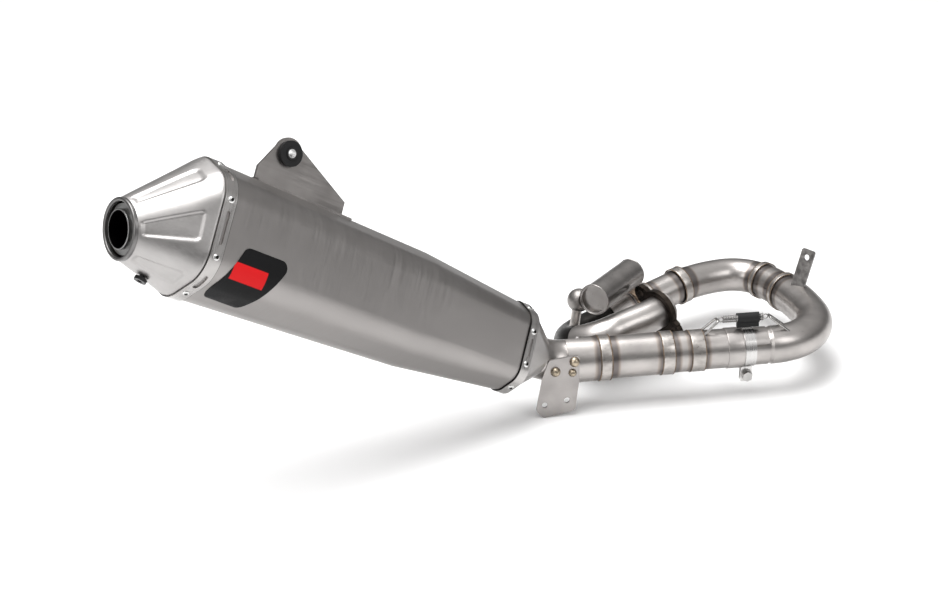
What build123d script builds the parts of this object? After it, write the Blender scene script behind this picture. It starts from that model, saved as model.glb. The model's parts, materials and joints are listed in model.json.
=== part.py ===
"""Racing exhaust system: wrap-round header, slip joint, link pipe and silencer.

Millimetres. +Z is up. The origin is the centre of the port face, where the header meets the
cylinder head. +X runs along the link pipe towards the loop. +Y runs away from the silencer side.
"""

import os
from math import atan2, cos, degrees, radians, sin

from build123d import *

os.makedirs("parts", exist_ok=True)

# ---------------------------------------------------------------- driving dimensions
wall = 1.2                      # tube wall everywhere on the pipes
link_y = -81.0                  # link pipe axis, beside the port
link_z = -14.0                  # link pipe axis, below the port

port_heading = 30.0             # port axis, turned in plan from +X
port_climb = 8.0                # port axis, above the horizontal
port_r = 18.0                   # outer radius of the port pipe and the turn
spigot_len = 4.0                # collar nose that enters the port
spigot_r = 18.3
rim_r = 20.6                    # rim of the port collar
rim_len = 3.0
collar_len = 15.0
flange_thick = 6.0
flange_fit = 0.3                # air all round the loose flange
flange_hub_r = 25.0
stud_pitch = 58.0
stud_hole_r = 4.25
stud_roll = 31.0                # flange ears, turned above the horizontal
ear_r = 9.0
turn_start = (-57.8, -24.3, -9.7)   # end of the port pipe, start of the turn
pair_heading = 24.0             # port pipe end and loop tube run parallel on this heading
pair_climb = 9.3
near_turn_angle = 75.0          # part of the turn that belongs to the near half

ubend_start_x = 99.0
ubend_r = 66.0                  # tight half of the loop
ubend_tube_r = 20.7
sweep_r = 220.0                 # slow part of the loop
sweep_angle = 28.0
corner_r = 42.0
corner_turn = 70.0
return_r = 120.0
return_turn = 16.0
return_straight = 25.0
arc_tube_r = 18.9
step_tube_r = 19.8              # short step piece between the two collars
step_angle = 18.0               # where the step piece starts on the slow part
bead_r = 1.5                    # how far a weld bead stands out

slip_r = 18.5                   # male end of the loop
bush_fit = 0.025                # radial clearance each side of the slip bush
bush_wall = 0.95
socket_wall = 1.1
socket_start, socket_end = 50.0, 94.0
bell_start, bell_end = 48.0, 66.0
bell_r = 22.2
clamp_start, clamp_end = 67.0, 79.0
clamp_thick = 0.9
clamp_gap = 0.03                # running fit of the clamp band on the socket
ear_gap = 4.0

muffler_heading = 199.0
muffler_climb = 30.2
muffler_roll = 21.0
inlet_x = -143.7                # where link axis and silencer axis cross
front_at, crease_at, rear_at = 61.0, 196.0, 466.0
seam_at = 473.0                 # band edge towards the end cap
nose_at, nose_drop, nose_tilt = 539.0, 24.0, 17.0
front_w, front_h = 31.0, 49.5   # half width and half height of the sleeve at the front
crease_w, crease_h = 45.0, 62.5
rear_w, rear_h = 57.0, 70.5
sleeve_wall = 1.2
band_thick = 1.5
core_r = 20.0
outlet_r = 30.0                 # rolled lip of the end cap
insert_r = 18.0                 # clear bore of the outlet insert


def direction(turn, climb):
    """Unit vector from a plan heading and a climb angle, in degrees."""
    flat = cos(radians(climb))
    return Vector(flat * cos(radians(turn)), flat * sin(radians(turn)), sin(radians(climb)))


def link_plane(x):
    """Plane square to the link pipe at distance x along it."""
    return Plane(origin=(x, link_y, link_z), x_dir=(0, 1, 0), z_dir=(1, 0, 0))


# ---------------------------------------------------------------- silencer frame
muffler_axis = direction(muffler_heading, muffler_climb)
muffler_root = Vector(inlet_x, link_y, link_z)
side_flat = direction(muffler_heading + 90.0, 0.0)
up_flat = muffler_axis.cross(side_flat)
side_dir = side_flat * cos(radians(muffler_roll)) + up_flat * sin(radians(muffler_roll))
up_dir = up_flat * cos(radians(muffler_roll)) - side_flat * sin(radians(muffler_roll))


def muffler_at(s):
    """Plane square to the silencer axis; local x is the near side, local y is its top."""
    return Plane(origin=muffler_root + muffler_axis * s, x_dir=side_dir, z_dir=muffler_axis)


def half_sizes(s):
    """Half width and half height of the silencer section at distance s."""
    if s <= crease_at:
        part = (s - front_at) / (crease_at - front_at)
        return front_w + (crease_w - front_w) * part, front_h + (crease_h - front_h) * part
    part = (s - crease_at) / (rear_at - crease_at)
    return crease_w + (rear_w - crease_w) * part, crease_h + (rear_h - crease_h) * part


shoulder = 0.66                 # height of the side corners as a share of the half height
corner_share = 0.60             # corner radius as a share of the half width


def section(s, inset=0.0):
    """Six-sided rounded section of the silencer in the current sketch."""
    w, h = half_sizes(s)
    w, h = w - inset, h - inset * 1.1
    Polygon((0, h * 1.03), (w, h * shoulder), (w, -h * shoulder), (0, -h * 1.03),
            (-w, -h * shoulder), (-w, h * shoulder), align=None)
    fillet(vertices(), radius=corner_share * half_sizes(s)[0] - inset)


def facet_normal_angle(s):
    """Angle of the slanted facet's normal above the side direction."""
    w, h = half_sizes(s)
    return degrees(atan2(w, h * (1.03 - shoulder)))


def facet_point(s, facet, along, out=0.0):
    """Point on one of the six facets. facet 0 and 3 are the sides, the others are slanted."""
    w, h = half_sizes(s)
    if facet in (0, 3):
        sign = 1 if facet == 0 else -1
        return muffler_at(s).from_local_coords((sign * (w + out), along, 0))
    tilt = radians(facet_normal_angle(s))
    sx = 1 if facet in (1, 5) else -1
    sy = 1 if facet in (1, 2) else -1
    x = w - along * sin(tilt) + out * cos(tilt)
    y = h * shoulder + along * cos(tilt) + out * sin(tilt)
    return muffler_at(s).from_local_coords((sx * x, sy * y, 0))


def facet_plane(s, facet, along, out=0.0):
    """Plane lying on a facet, local x along the silencer axis, normal outwards."""
    tilt = radians(facet_normal_angle(s))
    if facet == 0:
        normal = side_dir
    elif facet == 3:
        normal = side_dir * -1
    else:
        sx = 1 if facet in (1, 5) else -1
        sy = 1 if facet in (1, 2) else -1
        normal = side_dir * (sx * cos(tilt)) + up_dir * (sy * sin(tilt))
    return Plane(origin=facet_point(s, facet, along, out), x_dir=muffler_axis, z_dir=normal)


def six_sided(w, top, side, corner):
    """Rounded six-sided outline with a given top, side corner height and corner radius."""
    Polygon((0, top), (w, side), (w, -side), (0, -top), (-w, -side), (-w, side), align=None)
    fillet(vertices(), radius=corner)


# ---------------------------------------------------------------- silencer sleeve
with BuildPart() as muffler_sleeve:
    for first, last in ((front_at, crease_at), (crease_at, rear_at)):
        with BuildSketch(muffler_at(first)):
            section(first)
        with BuildSketch(muffler_at(last)):
            section(last)
        loft()
    for first, last in ((front_at, crease_at), (crease_at, rear_at)):
        with BuildSketch(muffler_at(first)):
            section(first, sleeve_wall)
        with BuildSketch(muffler_at(last)):
            section(last, sleeve_wall)
        loft(mode=Mode.SUBTRACT)
muffler_sleeve.part.label = "muffler_sleeve"
export_step(muffler_sleeve.part, "parts/muffler_sleeve.step")

# ---------------------------------------------------------------- perforated core and packing
core_start, core_end = 40.0, 462.0
core_wall = 1.0
perf_r, perf_rows, perf_round = 2.0, 12, 8

with BuildPart() as perforated_core:
    with BuildSketch(muffler_at(core_start)):
        Circle(core_r)
        Circle(core_r - core_wall, mode=Mode.SUBTRACT)
    extrude(amount=core_end - core_start)
    for row in range(perf_rows):
        s = core_start + 40.0 + row * 30.0
        for step in range(perf_round // 2):
            turn = 360.0 / perf_round * (step + 0.5 * (row % 2))
            across = muffler_at(s).rotated((0, 0, turn))
            drill = Plane(origin=across.origin, x_dir=across.z_dir, z_dir=across.x_dir)
            with BuildSketch(drill):
                Circle(perf_r)
            extrude(amount=core_r + 1.0, both=True, mode=Mode.SUBTRACT)
perforated_core.part.label = "perforated_core"
export_step(perforated_core.part, "parts/perforated_core.step")

packing_start, packing_end = 64.0, 460.0
with BuildPart() as packing:
    for first, last in ((packing_start, crease_at), (crease_at, packing_end)):
        with BuildSketch(muffler_at(first)):
            section(first, sleeve_wall + 0.3)
        with BuildSketch(muffler_at(last)):
            section(last, sleeve_wall + 0.3)
        loft()
    with BuildSketch(muffler_at(packing_start)):
        Circle(core_r + 0.3)
    extrude(amount=packing_end - packing_start, mode=Mode.SUBTRACT)
packing.part.label = "packing"
export_step(packing.part, "parts/packing.step")

# ---------------------------------------------------------------- end cap
nose_plane = Plane(
    origin=muffler_at(nose_at).from_local_coords((0, -nose_drop, 0)),
    x_dir=side_dir,
    z_dir=muffler_axis * cos(radians(nose_tilt)) - up_dir * sin(radians(nose_tilt)))
nose_axis = Axis(nose_plane.origin, nose_plane.z_dir)
cap_rim = 3.0                   # straight rim of the cap beyond the band
hex_side = 0.577                # corner height of a regular six-sided outline
hex_top = 1.155


def nose_outline(radius):
    """Six-sided outline rounded until it is nearly a circle."""
    six_sided(radius, radius * hex_top, radius * hex_side, radius * 0.93)


# the screw goes up through the cap floor into the insert's stay
screw_at, screw_drop = 505.0, 62.0
screw_lean = 15.0
screw_r = 3.0
stay_r = 5.0
stay_gap = 5.5                  # the stay starts this far above the screw head
screw_plane = Plane(
    origin=muffler_at(screw_at).from_local_coords((0, -screw_drop, 0)),
    x_dir=side_dir,
    z_dir=up_dir * -1 * cos(radians(screw_lean)) + muffler_axis * sin(radians(screw_lean)))

with BuildPart() as end_cap:
    with BuildSketch(muffler_at(rear_at)):
        section(rear_at)
    extrude(amount=seam_at + cap_rim - rear_at)
    with BuildSketch(muffler_at(seam_at + cap_rim)):
        section(rear_at)
    with BuildSketch(nose_plane):
        nose_outline(outlet_r)
    loft()
    with BuildSketch(muffler_at(rear_at)):
        section(rear_at, sleeve_wall)
    extrude(amount=seam_at + cap_rim - rear_at, mode=Mode.SUBTRACT)
    with BuildSketch(muffler_at(seam_at + cap_rim)):
        section(rear_at, sleeve_wall)
    with BuildSketch(nose_plane):
        nose_outline(outlet_r - sleeve_wall)
    loft(mode=Mode.SUBTRACT)
    with BuildSketch(screw_plane.offset(2.0)):
        Circle(screw_r + 0.1)
    extrude(amount=-8.0, mode=Mode.SUBTRACT)
end_cap.part.label = "end_cap"
export_step(end_cap.part, "parts/end_cap.step")

lip_len = 4.0
with BuildPart() as nose_lip:
    with BuildSketch(nose_plane):
        Circle(outlet_r + 0.6)
        Circle(outlet_r - 3.4, mode=Mode.SUBTRACT)
    extrude(amount=lip_len)
    fillet(nose_lip.faces().sort_by(nose_axis)[-1].edges(), radius=1.6)
nose_lip.part.label = "nose_lip"
export_step(nose_lip.part, "parts/nose_lip.step")

insert_wall = 1.5
insert_depth = 46.0
plate_r = outlet_r - 3.7
plate_depth = 4.0
with BuildPart() as outlet_insert:
    with BuildSketch(nose_plane.offset(-insert_depth)):
        Circle(insert_r + insert_wall)
        Circle(insert_r, mode=Mode.SUBTRACT)
    extrude(amount=insert_depth + lip_len)
    with BuildSketch(nose_plane.offset(-plate_depth)):
        Circle(plate_r - 1.5)
        Circle(insert_r + 0.5, mode=Mode.SUBTRACT)
    extrude(amount=3.0)
    fillet(outlet_insert.faces().sort_by(nose_axis)[-1].edges(), radius=0.6)
    with BuildSketch(screw_plane.offset(-stay_gap)):
        Circle(stay_r)
    extrude(amount=-40.0)
    with BuildSketch(nose_plane.offset(-insert_depth - 30.0)):
        Circle(insert_r)
    extrude(amount=insert_depth + 60.0, mode=Mode.SUBTRACT)
    with BuildSketch(screw_plane):
        Circle(screw_r)
    extrude(amount=-20.0, mode=Mode.SUBTRACT)
outlet_insert.part.label = "outlet_insert"
export_step(outlet_insert.part, "parts/outlet_insert.step")

with BuildPart() as insert_screw:
    with BuildSketch(screw_plane):
        Circle(6.5)
    extrude(amount=3.5)
    with BuildSketch(screw_plane):
        Circle(screw_r)
    extrude(amount=-14.0)
    with BuildSketch(screw_plane.offset(3.5)):
        RegularPolygon(radius=2.9, side_count=6)
    extrude(amount=-2.4, mode=Mode.SUBTRACT)
insert_screw.part.label = "insert_screw"
export_step(insert_screw.part, "parts/insert_screw.step")

# ---------------------------------------------------------------- front cap and inlet
cap_front = 50.0                # where the cap's straight rim ends
cone_end, cone_r = 22.0, 24.0
with BuildPart() as front_cap:
    with BuildSketch(muffler_at(front_at)):
        section(front_at)
    extrude(amount=cap_front - front_at)
    with BuildSketch(muffler_at(cap_front)):
        section(front_at)
    with BuildSketch(muffler_at(cone_end)):
        nose_outline(cone_r)
    loft()
    with BuildSketch(muffler_at(front_at)):
        section(front_at, sleeve_wall)
    extrude(amount=cap_front - front_at, mode=Mode.SUBTRACT)
    with BuildSketch(muffler_at(cap_front)):
        section(front_at, sleeve_wall)
    with BuildSketch(muffler_at(cone_end)):
        nose_outline(cone_r - sleeve_wall)
    loft(mode=Mode.SUBTRACT)
front_cap.part.label = "front_cap"
export_step(front_cap.part, "parts/front_cap.step")

inlet_r = 22.4
link_back = -112.0              # muffler end of the link collar
inlet_reach = 44.0
inlet_bend = 50.0
with BuildPart() as inlet_tube:
    with BuildLine() as inlet_path:
        FilletPolyline((link_back, link_y, link_z), (inlet_x, link_y, link_z),
                       muffler_root + muffler_axis * inlet_reach, radius=inlet_bend)
    with BuildSketch(Plane(origin=(link_back, link_y, link_z), z_dir=(-1, 0, 0))):
        Circle(inlet_r)
        Circle(inlet_r - wall, mode=Mode.SUBTRACT)
    sweep(path=inlet_path.wires()[0])
inlet_tube.part.label = "inlet_tube"
export_step(inlet_tube.part, "parts/inlet_tube.step")


# ---------------------------------------------------------------- bands and rivets
def band(start, end, ref):
    """Band round the section at ref, from start to end, in the current part."""
    with BuildSketch(muffler_at(start)) as ring:
        section(ref, -band_thick)
        section_hole(ref, 0.0)
    extrude(ring.sketch, amount=end - start)


def section_hole(s, inset):
    """The same section, cut away from the current sketch."""
    w, h = half_sizes(s)
    radius = corner_share * w - inset
    with BuildSketch(mode=Mode.PRIVATE) as hole:
        six_sided(w - inset, (h - inset * 1.1) * 1.03, (h - inset * 1.1) * shoulder, radius)
    add(hole.sketch, mode=Mode.SUBTRACT)


rear_band_start, rear_band_end = 459.0, 473.0
front_band_start, front_band_end = 50.0, 61.0
rear_rivet_at, front_rivet_at = 466.0, 55.5
slot_len, slot_wide = 34.0, 5.0

with BuildPart() as rear_band:
    band(rear_band_start, rear_band_end, rear_at)
    for facet in (0, 3):
        with BuildSketch(facet_plane(rear_rivet_at, facet, 0.0, band_thick + 0.2)):
            SlotOverall(slot_len, slot_wide, rotation=90)
        extrude(amount=band_thick + 1.5, both=True, mode=Mode.SUBTRACT)
    for facet in (1, 2, 4, 5):
        with BuildSketch(facet_plane(rear_rivet_at, facet, 17.0, band_thick + 0.2)):
            SlotOverall(slot_len * 0.62, slot_wide, rotation=90)
        extrude(amount=band_thick + 3.5, both=True, mode=Mode.SUBTRACT)
rear_band.part.label = "rear_band"
export_step(rear_band.part, "parts/rear_band.step")

with BuildPart() as front_band:
    band(front_band_start, front_band_end, front_at)
    for facet in (0, 3):
        middle = facet_plane(front_at, facet, 0.0, band_thick + 0.2)
        middle = Plane(origin=middle.origin + muffler_axis * (front_rivet_at - front_at),
                       x_dir=middle.x_dir, z_dir=middle.z_dir)
        with BuildSketch(middle):
            SlotOverall(slot_len * 0.6, slot_wide * 0.8, rotation=90)
        extrude(amount=band_thick + 1.2, both=True, mode=Mode.SUBTRACT)
front_band.part.label = "front_band"
export_step(front_band.part, "parts/front_band.step")

rivet_head_r, rivet_head, rivet_bore = 4.2, 1.1, 1.4


def rivets(s, places, ref):
    """Blind rivets standing on the band at the listed (facet, along) places."""
    for facet, along in places:
        seat = facet_plane(ref, facet, along, band_thick * 1.12)
        shift = s - ref
        base = Plane(origin=seat.origin + muffler_axis * shift, x_dir=seat.x_dir,
                     z_dir=seat.z_dir)
        with BuildSketch(base) as head:
            Circle(rivet_head_r)
            Circle(rivet_bore, mode=Mode.SUBTRACT)
        extrude(head.sketch, amount=rivet_head)


rear_places = [(0, 28.0), (0, -29.0), (3, 28.0), (3, -29.0)]
rear_places += [(facet, 40.0) for facet in (1, 2, 4, 5)]
front_places = [(0, 17.6), (0, -17.6), (3, 17.6), (3, -17.6)]
front_places += [(facet, 18.0) for facet in (1, 2, 4, 5)]

with BuildPart() as rear_rivets:
    rivets(rear_rivet_at, rear_places, rear_at)
rear_rivets.part.label = "rear_rivets"
export_step(rear_rivets.part, "parts/rear_rivets.step")

with BuildPart() as front_rivets:
    rivets(front_rivet_at, front_places, front_at)
front_rivets.part.label = "front_rivets"
export_step(front_rivets.part, "parts/front_rivets.step")

# ---------------------------------------------------------------- hanger
hanger_plane = Plane(origin=muffler_root, x_dir=muffler_axis, z_dir=side_dir)
plate_thick = 3.0
hanger_at, hanger_up = 382.0, 104.0
boss_r = 16.2
grommet_r, bush_r, bolt_r = 13.0, 6.0, 4.2
plate_foot = 60.0               # the plate is cut off by the foot above this height
foot_thick = 1.8
foot_rear, foot_front = 413.0, 304.0
grommet_len, bush_len = 13.0, 15.0

# local y of the hanger plane points down the section, so heights are negated
flip = -1 if hanger_plane.y_dir.dot(up_dir) < 0 else 1
with BuildPart() as hanger_bracket:
    with BuildSketch(hanger_plane.offset(-plate_thick / 2)):
        with BuildLine():
            Polyline((foot_rear, flip * plate_foot), (foot_rear, flip * 82.0),
                     (hanger_at + 15.0, flip * (hanger_up + 5.0)),
                     (hanger_at, flip * (hanger_up + 9.0)),
                     (hanger_at - 13.5, flip * (hanger_up + 9.0)),
                     (foot_front, flip * 79.0), (foot_front, flip * plate_foot), close=True)
        make_face()
        with Locations((hanger_at, flip * hanger_up)):
            Circle(boss_r)
        with Locations((hanger_at, flip * hanger_up)):
            Circle(grommet_r - 3.0, mode=Mode.SUBTRACT)
    extrude(amount=plate_thick)
    with BuildSketch(muffler_at(crease_at)):
        section(crease_at, -foot_thick)
    with BuildSketch(muffler_at(rear_at)):
        section(rear_at, -foot_thick)
    loft(mode=Mode.SUBTRACT)
hanger_bracket.part.label = "hanger_bracket"
export_step(hanger_bracket.part, "parts/hanger_bracket.step")

with BuildPart() as hanger_foot:
    with BuildSketch(muffler_at(crease_at)):
        section(crease_at, -foot_thick)
    with BuildSketch(muffler_at(rear_at)):
        section(rear_at, -foot_thick)
    loft()
    with BuildSketch(muffler_at(crease_at)):
        section(crease_at)
    with BuildSketch(muffler_at(rear_at)):
        section(rear_at)
    loft(mode=Mode.SUBTRACT)
    with BuildSketch(hanger_plane.offset(-11.0)):
        with Locations(((foot_rear + foot_front) / 2 - 3.0, flip * 70.0)):
            Rectangle(foot_rear - foot_front + 8.0, 30.0)
    extrude(amount=22.0, mode=Mode.INTERSECT)
hanger_foot.part.label = "hanger_foot"
export_step(hanger_foot.part, "parts/hanger_foot.step")

with BuildPart() as hanger_grommet:
    with BuildSketch(hanger_plane.offset(-grommet_len / 2)):
        with Locations((hanger_at, flip * hanger_up)):
            Circle(grommet_r)
            Circle(bush_r, mode=Mode.SUBTRACT)
    extrude(amount=grommet_len)
    with BuildSketch(hanger_plane.offset(-plate_thick / 2)):
        with Locations((hanger_at, flip * hanger_up)):
            Circle(grommet_r + 1.0)
            Circle(grommet_r - 3.0, mode=Mode.SUBTRACT)
    extrude(amount=plate_thick, mode=Mode.SUBTRACT)
hanger_grommet.part.label = "hanger_grommet"
export_step(hanger_grommet.part, "parts/hanger_grommet.step")

with BuildPart() as hanger_bush:
    with BuildSketch(hanger_plane.offset(-bush_len / 2)):
        with Locations((hanger_at, flip * hanger_up)):
            Circle(bush_r)
            Circle(bolt_r, mode=Mode.SUBTRACT)
    extrude(amount=bush_len)
hanger_bush.part.label = "hanger_bush"
export_step(hanger_bush.part, "parts/hanger_bush.step")

# ---------------------------------------------------------------- badge plate
badge_front, badge_rear = 378.0, 456.0
badge_thick = 0.6
with BuildPart() as badge:
    with BuildSketch(muffler_at(crease_at)):
        section(crease_at, -badge_thick)
    with BuildSketch(muffler_at(rear_at)):
        section(rear_at, -badge_thick)
    loft()
    with BuildSketch(muffler_at(crease_at)):
        section(crease_at)
    with BuildSketch(muffler_at(rear_at)):
        section(rear_at)
    loft(mode=Mode.SUBTRACT)
    with BuildSketch(hanger_plane.offset(20.0)):
        Polygon((badge_front, flip * -9.0), (badge_rear - 22.0, flip * -9.0),
                (badge_rear, flip * -62.0), (badge_front + 27.0, flip * -62.0), align=None)
        fillet(vertices(), radius=8.0)
    extrude(amount=60.0, mode=Mode.INTERSECT)
badge.part.label = "badge"
export_step(badge.part, "parts/badge.step")

# ---------------------------------------------------------------- link pipe
def link_ring(start, end, outer, inner):
    """Straight tube on the link axis, added to the current part."""
    with BuildSketch(link_plane(start)) as ring:
        Circle(outer)
        Circle(inner, mode=Mode.SUBTRACT)
    extrude(ring.sketch, amount=end - start)


collar_front, bead_front = -92.0, -80.0
rear_tube_front, ring_1_front, mid_tube_front, ring_2_front = -24.0, -11.0, 8.0, 23.0
link_collar_r, bead_ring_r = 24.4, 25.0
rear_tube_r, ring_1_r, mid_tube_r, ring_2_r, front_tube_r = 23.0, 23.7, 22.1, 22.8, 21.4

with BuildPart() as link_collar:
    link_ring(link_back, collar_front, link_collar_r, link_collar_r - wall)
    link_ring(link_back, link_back + 2.0, link_collar_r, inlet_r - wall)
link_collar.part.label = "link_collar"
export_step(link_collar.part, "parts/link_collar.step")

with BuildPart() as link_weld_ring:
    link_ring(collar_front, bead_front, bead_ring_r, rear_tube_r - wall)
    fillet(link_weld_ring.edges().filter_by(GeomType.CIRCLE).group_by(SortBy.RADIUS)[-1], 1.5)
link_weld_ring.part.label = "link_weld_ring"
export_step(link_weld_ring.part, "parts/link_weld_ring.step")

with BuildPart() as link_rear_tube:
    link_ring(bead_front, rear_tube_front, rear_tube_r, rear_tube_r - wall)
link_rear_tube.part.label = "link_rear_tube"
export_step(link_rear_tube.part, "parts/link_rear_tube.step")

with BuildPart() as link_ring_rear:
    link_ring(rear_tube_front, ring_1_front, ring_1_r, mid_tube_r - wall)
    fillet(link_ring_rear.edges().filter_by(GeomType.CIRCLE).group_by(SortBy.RADIUS)[-1], 0.9)
link_ring_rear.part.label = "link_ring_rear"
export_step(link_ring_rear.part, "parts/link_ring_rear.step")

with BuildPart() as link_mid_tube:
    link_ring(ring_1_front, mid_tube_front, mid_tube_r, mid_tube_r - wall)
link_mid_tube.part.label = "link_mid_tube"
export_step(link_mid_tube.part, "parts/link_mid_tube.step")

with BuildPart() as link_ring_front:
    link_ring(mid_tube_front, ring_2_front, ring_2_r, front_tube_r - wall)
    fillet(link_ring_front.edges().filter_by(GeomType.CIRCLE).group_by(SortBy.RADIUS)[-1], 0.9)
link_ring_front.part.label = "link_ring_front"
export_step(link_ring_front.part, "parts/link_ring_front.step")

with BuildPart() as link_front_tube:
    link_ring(ring_2_front, bell_start, front_tube_r, front_tube_r - wall)
link_front_tube.part.label = "link_front_tube"
export_step(link_front_tube.part, "parts/link_front_tube.step")

# ---------------------------------------------------------------- slip joint
bush_inner = slip_r + bush_fit
bush_outer = bush_inner + bush_wall
socket_inner = bush_outer + bush_fit
socket_r = socket_inner + socket_wall
bush_start, bush_end = 62.0, 91.0

with BuildPart() as joint_bell:
    link_ring(bell_start, bell_end, bell_r, socket_r)
    fillet(joint_bell.edges().filter_by(GeomType.CIRCLE).group_by(SortBy.RADIUS)[-1], 0.9)
joint_bell.part.label = "joint_bell"
export_step(joint_bell.part, "parts/joint_bell.step")

slit_wide, slit_len = 2.2, 16.0
with BuildPart() as slip_socket:
    link_ring(bell_start, socket_end, socket_r, socket_inner)
    with BuildSketch(link_plane(socket_end - slit_len)):
        with PolarLocations(0, 4, start_angle=-25.0):
            Rectangle(socket_r + 2.0, slit_wide, align=(Align.MIN, Align.CENTER))
    extrude(amount=slit_len, mode=Mode.SUBTRACT)
slip_socket.part.label = "slip_socket"
export_step(slip_socket.part, "parts/slip_socket.step")

with BuildPart() as slip_bush:
    link_ring(bush_start, bush_end, bush_outer, bush_inner)
slip_bush.part.label = "slip_bush"
export_step(slip_bush.part, "parts/slip_bush.step")

# ---------------------------------------------------------------- clamp
clamp_inner = socket_r + clamp_gap
clamp_r = clamp_inner + clamp_thick
clamp_mid = (clamp_start + clamp_end) / 2
bolt_drop = 31.5                # bolt axis below the pipe axis
ear_thick, ear_drop = 2.5, 38.5
clamp_bolt_r, clamp_hole_r = 2.9, 3.2

with BuildPart() as clamp_band:
    link_ring(clamp_start, clamp_end, clamp_r, clamp_inner)
    for side in (-1, 1):
        with BuildSketch(link_plane(clamp_start)):
            with Locations((side * (ear_gap + ear_thick) / 2, -(clamp_inner + ear_drop) / 2)):
                Rectangle(ear_thick, ear_drop - clamp_inner + 1.0)
        extrude(amount=clamp_end - clamp_start)
    with BuildSketch(link_plane(clamp_start)):
        with Locations((0, -clamp_r)):
            Rectangle(ear_gap, 3.0)
    extrude(amount=clamp_end - clamp_start, mode=Mode.SUBTRACT)
    with BuildSketch(link_plane(clamp_start)):
        Circle(clamp_inner)
    extrude(amount=clamp_end - clamp_start, mode=Mode.SUBTRACT)
    with BuildSketch(Plane(origin=(clamp_mid, link_y, link_z - bolt_drop), z_dir=(0, 1, 0))):
        Circle(clamp_hole_r)
    extrude(amount=10.0, both=True, mode=Mode.SUBTRACT)
clamp_band.part.label = "clamp_band"
export_step(clamp_band.part, "parts/clamp_band.step")

bolt_seat = ear_gap / 2 + ear_thick
bolt_plane = Plane(origin=(clamp_mid, link_y - bolt_seat, link_z - bolt_drop), z_dir=(0, -1, 0))
with BuildPart() as clamp_bolt:
    with BuildSketch(bolt_plane):
        Circle(6.6)
    extrude(amount=1.2)
    with BuildSketch(bolt_plane.offset(1.2)):
        RegularPolygon(radius=5.6, side_count=6)
    extrude(amount=4.6)
    with BuildSketch(bolt_plane):
        Circle(clamp_bolt_r)
    extrude(amount=-(2 * bolt_seat + 9.0))
clamp_bolt.part.label = "clamp_bolt"
export_step(clamp_bolt.part, "parts/clamp_bolt.step")

nut_plane = Plane(origin=(clamp_mid, link_y + bolt_seat, link_z - bolt_drop), z_dir=(0, 1, 0))
with BuildPart() as clamp_nut:
    with BuildSketch(nut_plane):
        RegularPolygon(radius=5.6, side_count=6)
        Circle(clamp_bolt_r + 0.05, mode=Mode.SUBTRACT)
    extrude(amount=5.0)
clamp_nut.part.label = "clamp_nut"
export_step(clamp_nut.part, "parts/clamp_nut.step")

# ---------------------------------------------------------------- loop path, flat at link height
def plan_plane(point, turn):
    """Plane square to the loop tube at a point, looking along a plan heading."""
    return Plane(origin=point, x_dir=direction(turn + 90.0, 0.0), z_dir=direction(turn, 0.0))


def bend(start, turn, radius, angle):
    """End point of a level bend to the left."""
    centre = start + direction(turn + 90.0, 0.0) * radius
    return centre + direction(turn + angle - 90.0, 0.0) * radius


loop_start = Vector(ubend_start_x, link_y, link_z)
ubend_end = bend(loop_start, 0.0, ubend_r, 90.0)
step_start = bend(ubend_end, 90.0, sweep_r, step_angle)
sweep_end = bend(ubend_end, 90.0, sweep_r, sweep_angle)
corner_heading = 90.0 + sweep_angle
corner_end = bend(sweep_end, corner_heading, corner_r, corner_turn)
return_heading = corner_heading + corner_turn
return_end = bend(corner_end, return_heading, return_r, return_turn)
back_heading = return_heading + return_turn
pair_end = return_end + direction(back_heading, 0.0) * return_straight


def level_arc(start, turn, radius, angle):
    """Level arc as a line object, added to the current line."""
    middle = bend(start, turn, radius, angle / 2)
    end = bend(start, turn, radius, angle)
    return ThreePointArc(start, middle, end)


male_start, swage_start = 58.0, 95.0
with BuildPart() as slip_male:
    link_ring(male_start, swage_start, slip_r, slip_r - wall)
    with BuildSketch(link_plane(swage_start)):
        Circle(slip_r)
    with BuildSketch(link_plane(ubend_start_x)):
        Circle(ubend_tube_r)
    loft()
    with BuildSketch(link_plane(swage_start)):
        Circle(slip_r - wall)
    with BuildSketch(link_plane(ubend_start_x)):
        Circle(ubend_tube_r - wall)
    loft(mode=Mode.SUBTRACT)
slip_male.part.label = "slip_male"
export_step(slip_male.part, "parts/slip_male.step")

with BuildPart() as u_bend:
    with BuildLine() as u_path:
        level_arc(loop_start, 0.0, ubend_r, 90.0)
        level_arc(ubend_end, 90.0, sweep_r, step_angle)
    with BuildSketch(link_plane(ubend_start_x)):
        Circle(ubend_tube_r)
        Circle(ubend_tube_r - wall, mode=Mode.SUBTRACT)
    sweep(path=u_path.wires()[0])
u_bend.part.label = "u_bend"
export_step(u_bend.part, "parts/u_bend.step")
step_heading = 90.0 + step_angle
ring_half = 3.0


def weld_bead(plane, outer, inner, half):
    """Rounded ring of weld or a rolled bead about a plane, added to the current part."""
    with BuildSketch(plane.offset(-half)) as ring:
        Circle(outer)
        Circle(inner, mode=Mode.SUBTRACT)
    extrude(ring.sketch, amount=2 * half)


with BuildPart() as step_collar_front:
    weld_bead(plan_plane(step_start, step_heading), ubend_tube_r + bead_r, ubend_tube_r + 0.05,
              ring_half)
    outer_edges = step_collar_front.edges().filter_by(GeomType.CIRCLE)
    fillet(outer_edges.group_by(SortBy.RADIUS)[-1], 1.0)
step_collar_front.part.label = "step_collar_front"
export_step(step_collar_front.part, "parts/step_collar_front.step")

with BuildPart() as step_tube:
    with BuildLine() as step_path:
        level_arc(step_start, step_heading, sweep_r, sweep_angle - step_angle)
    with BuildSketch(plan_plane(step_start, step_heading)):
        Circle(step_tube_r)
        Circle(step_tube_r - wall, mode=Mode.SUBTRACT)
    sweep(path=step_path.wires()[0])
step_tube.part.label = "step_tube"
export_step(step_tube.part, "parts/step_tube.step")

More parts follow.
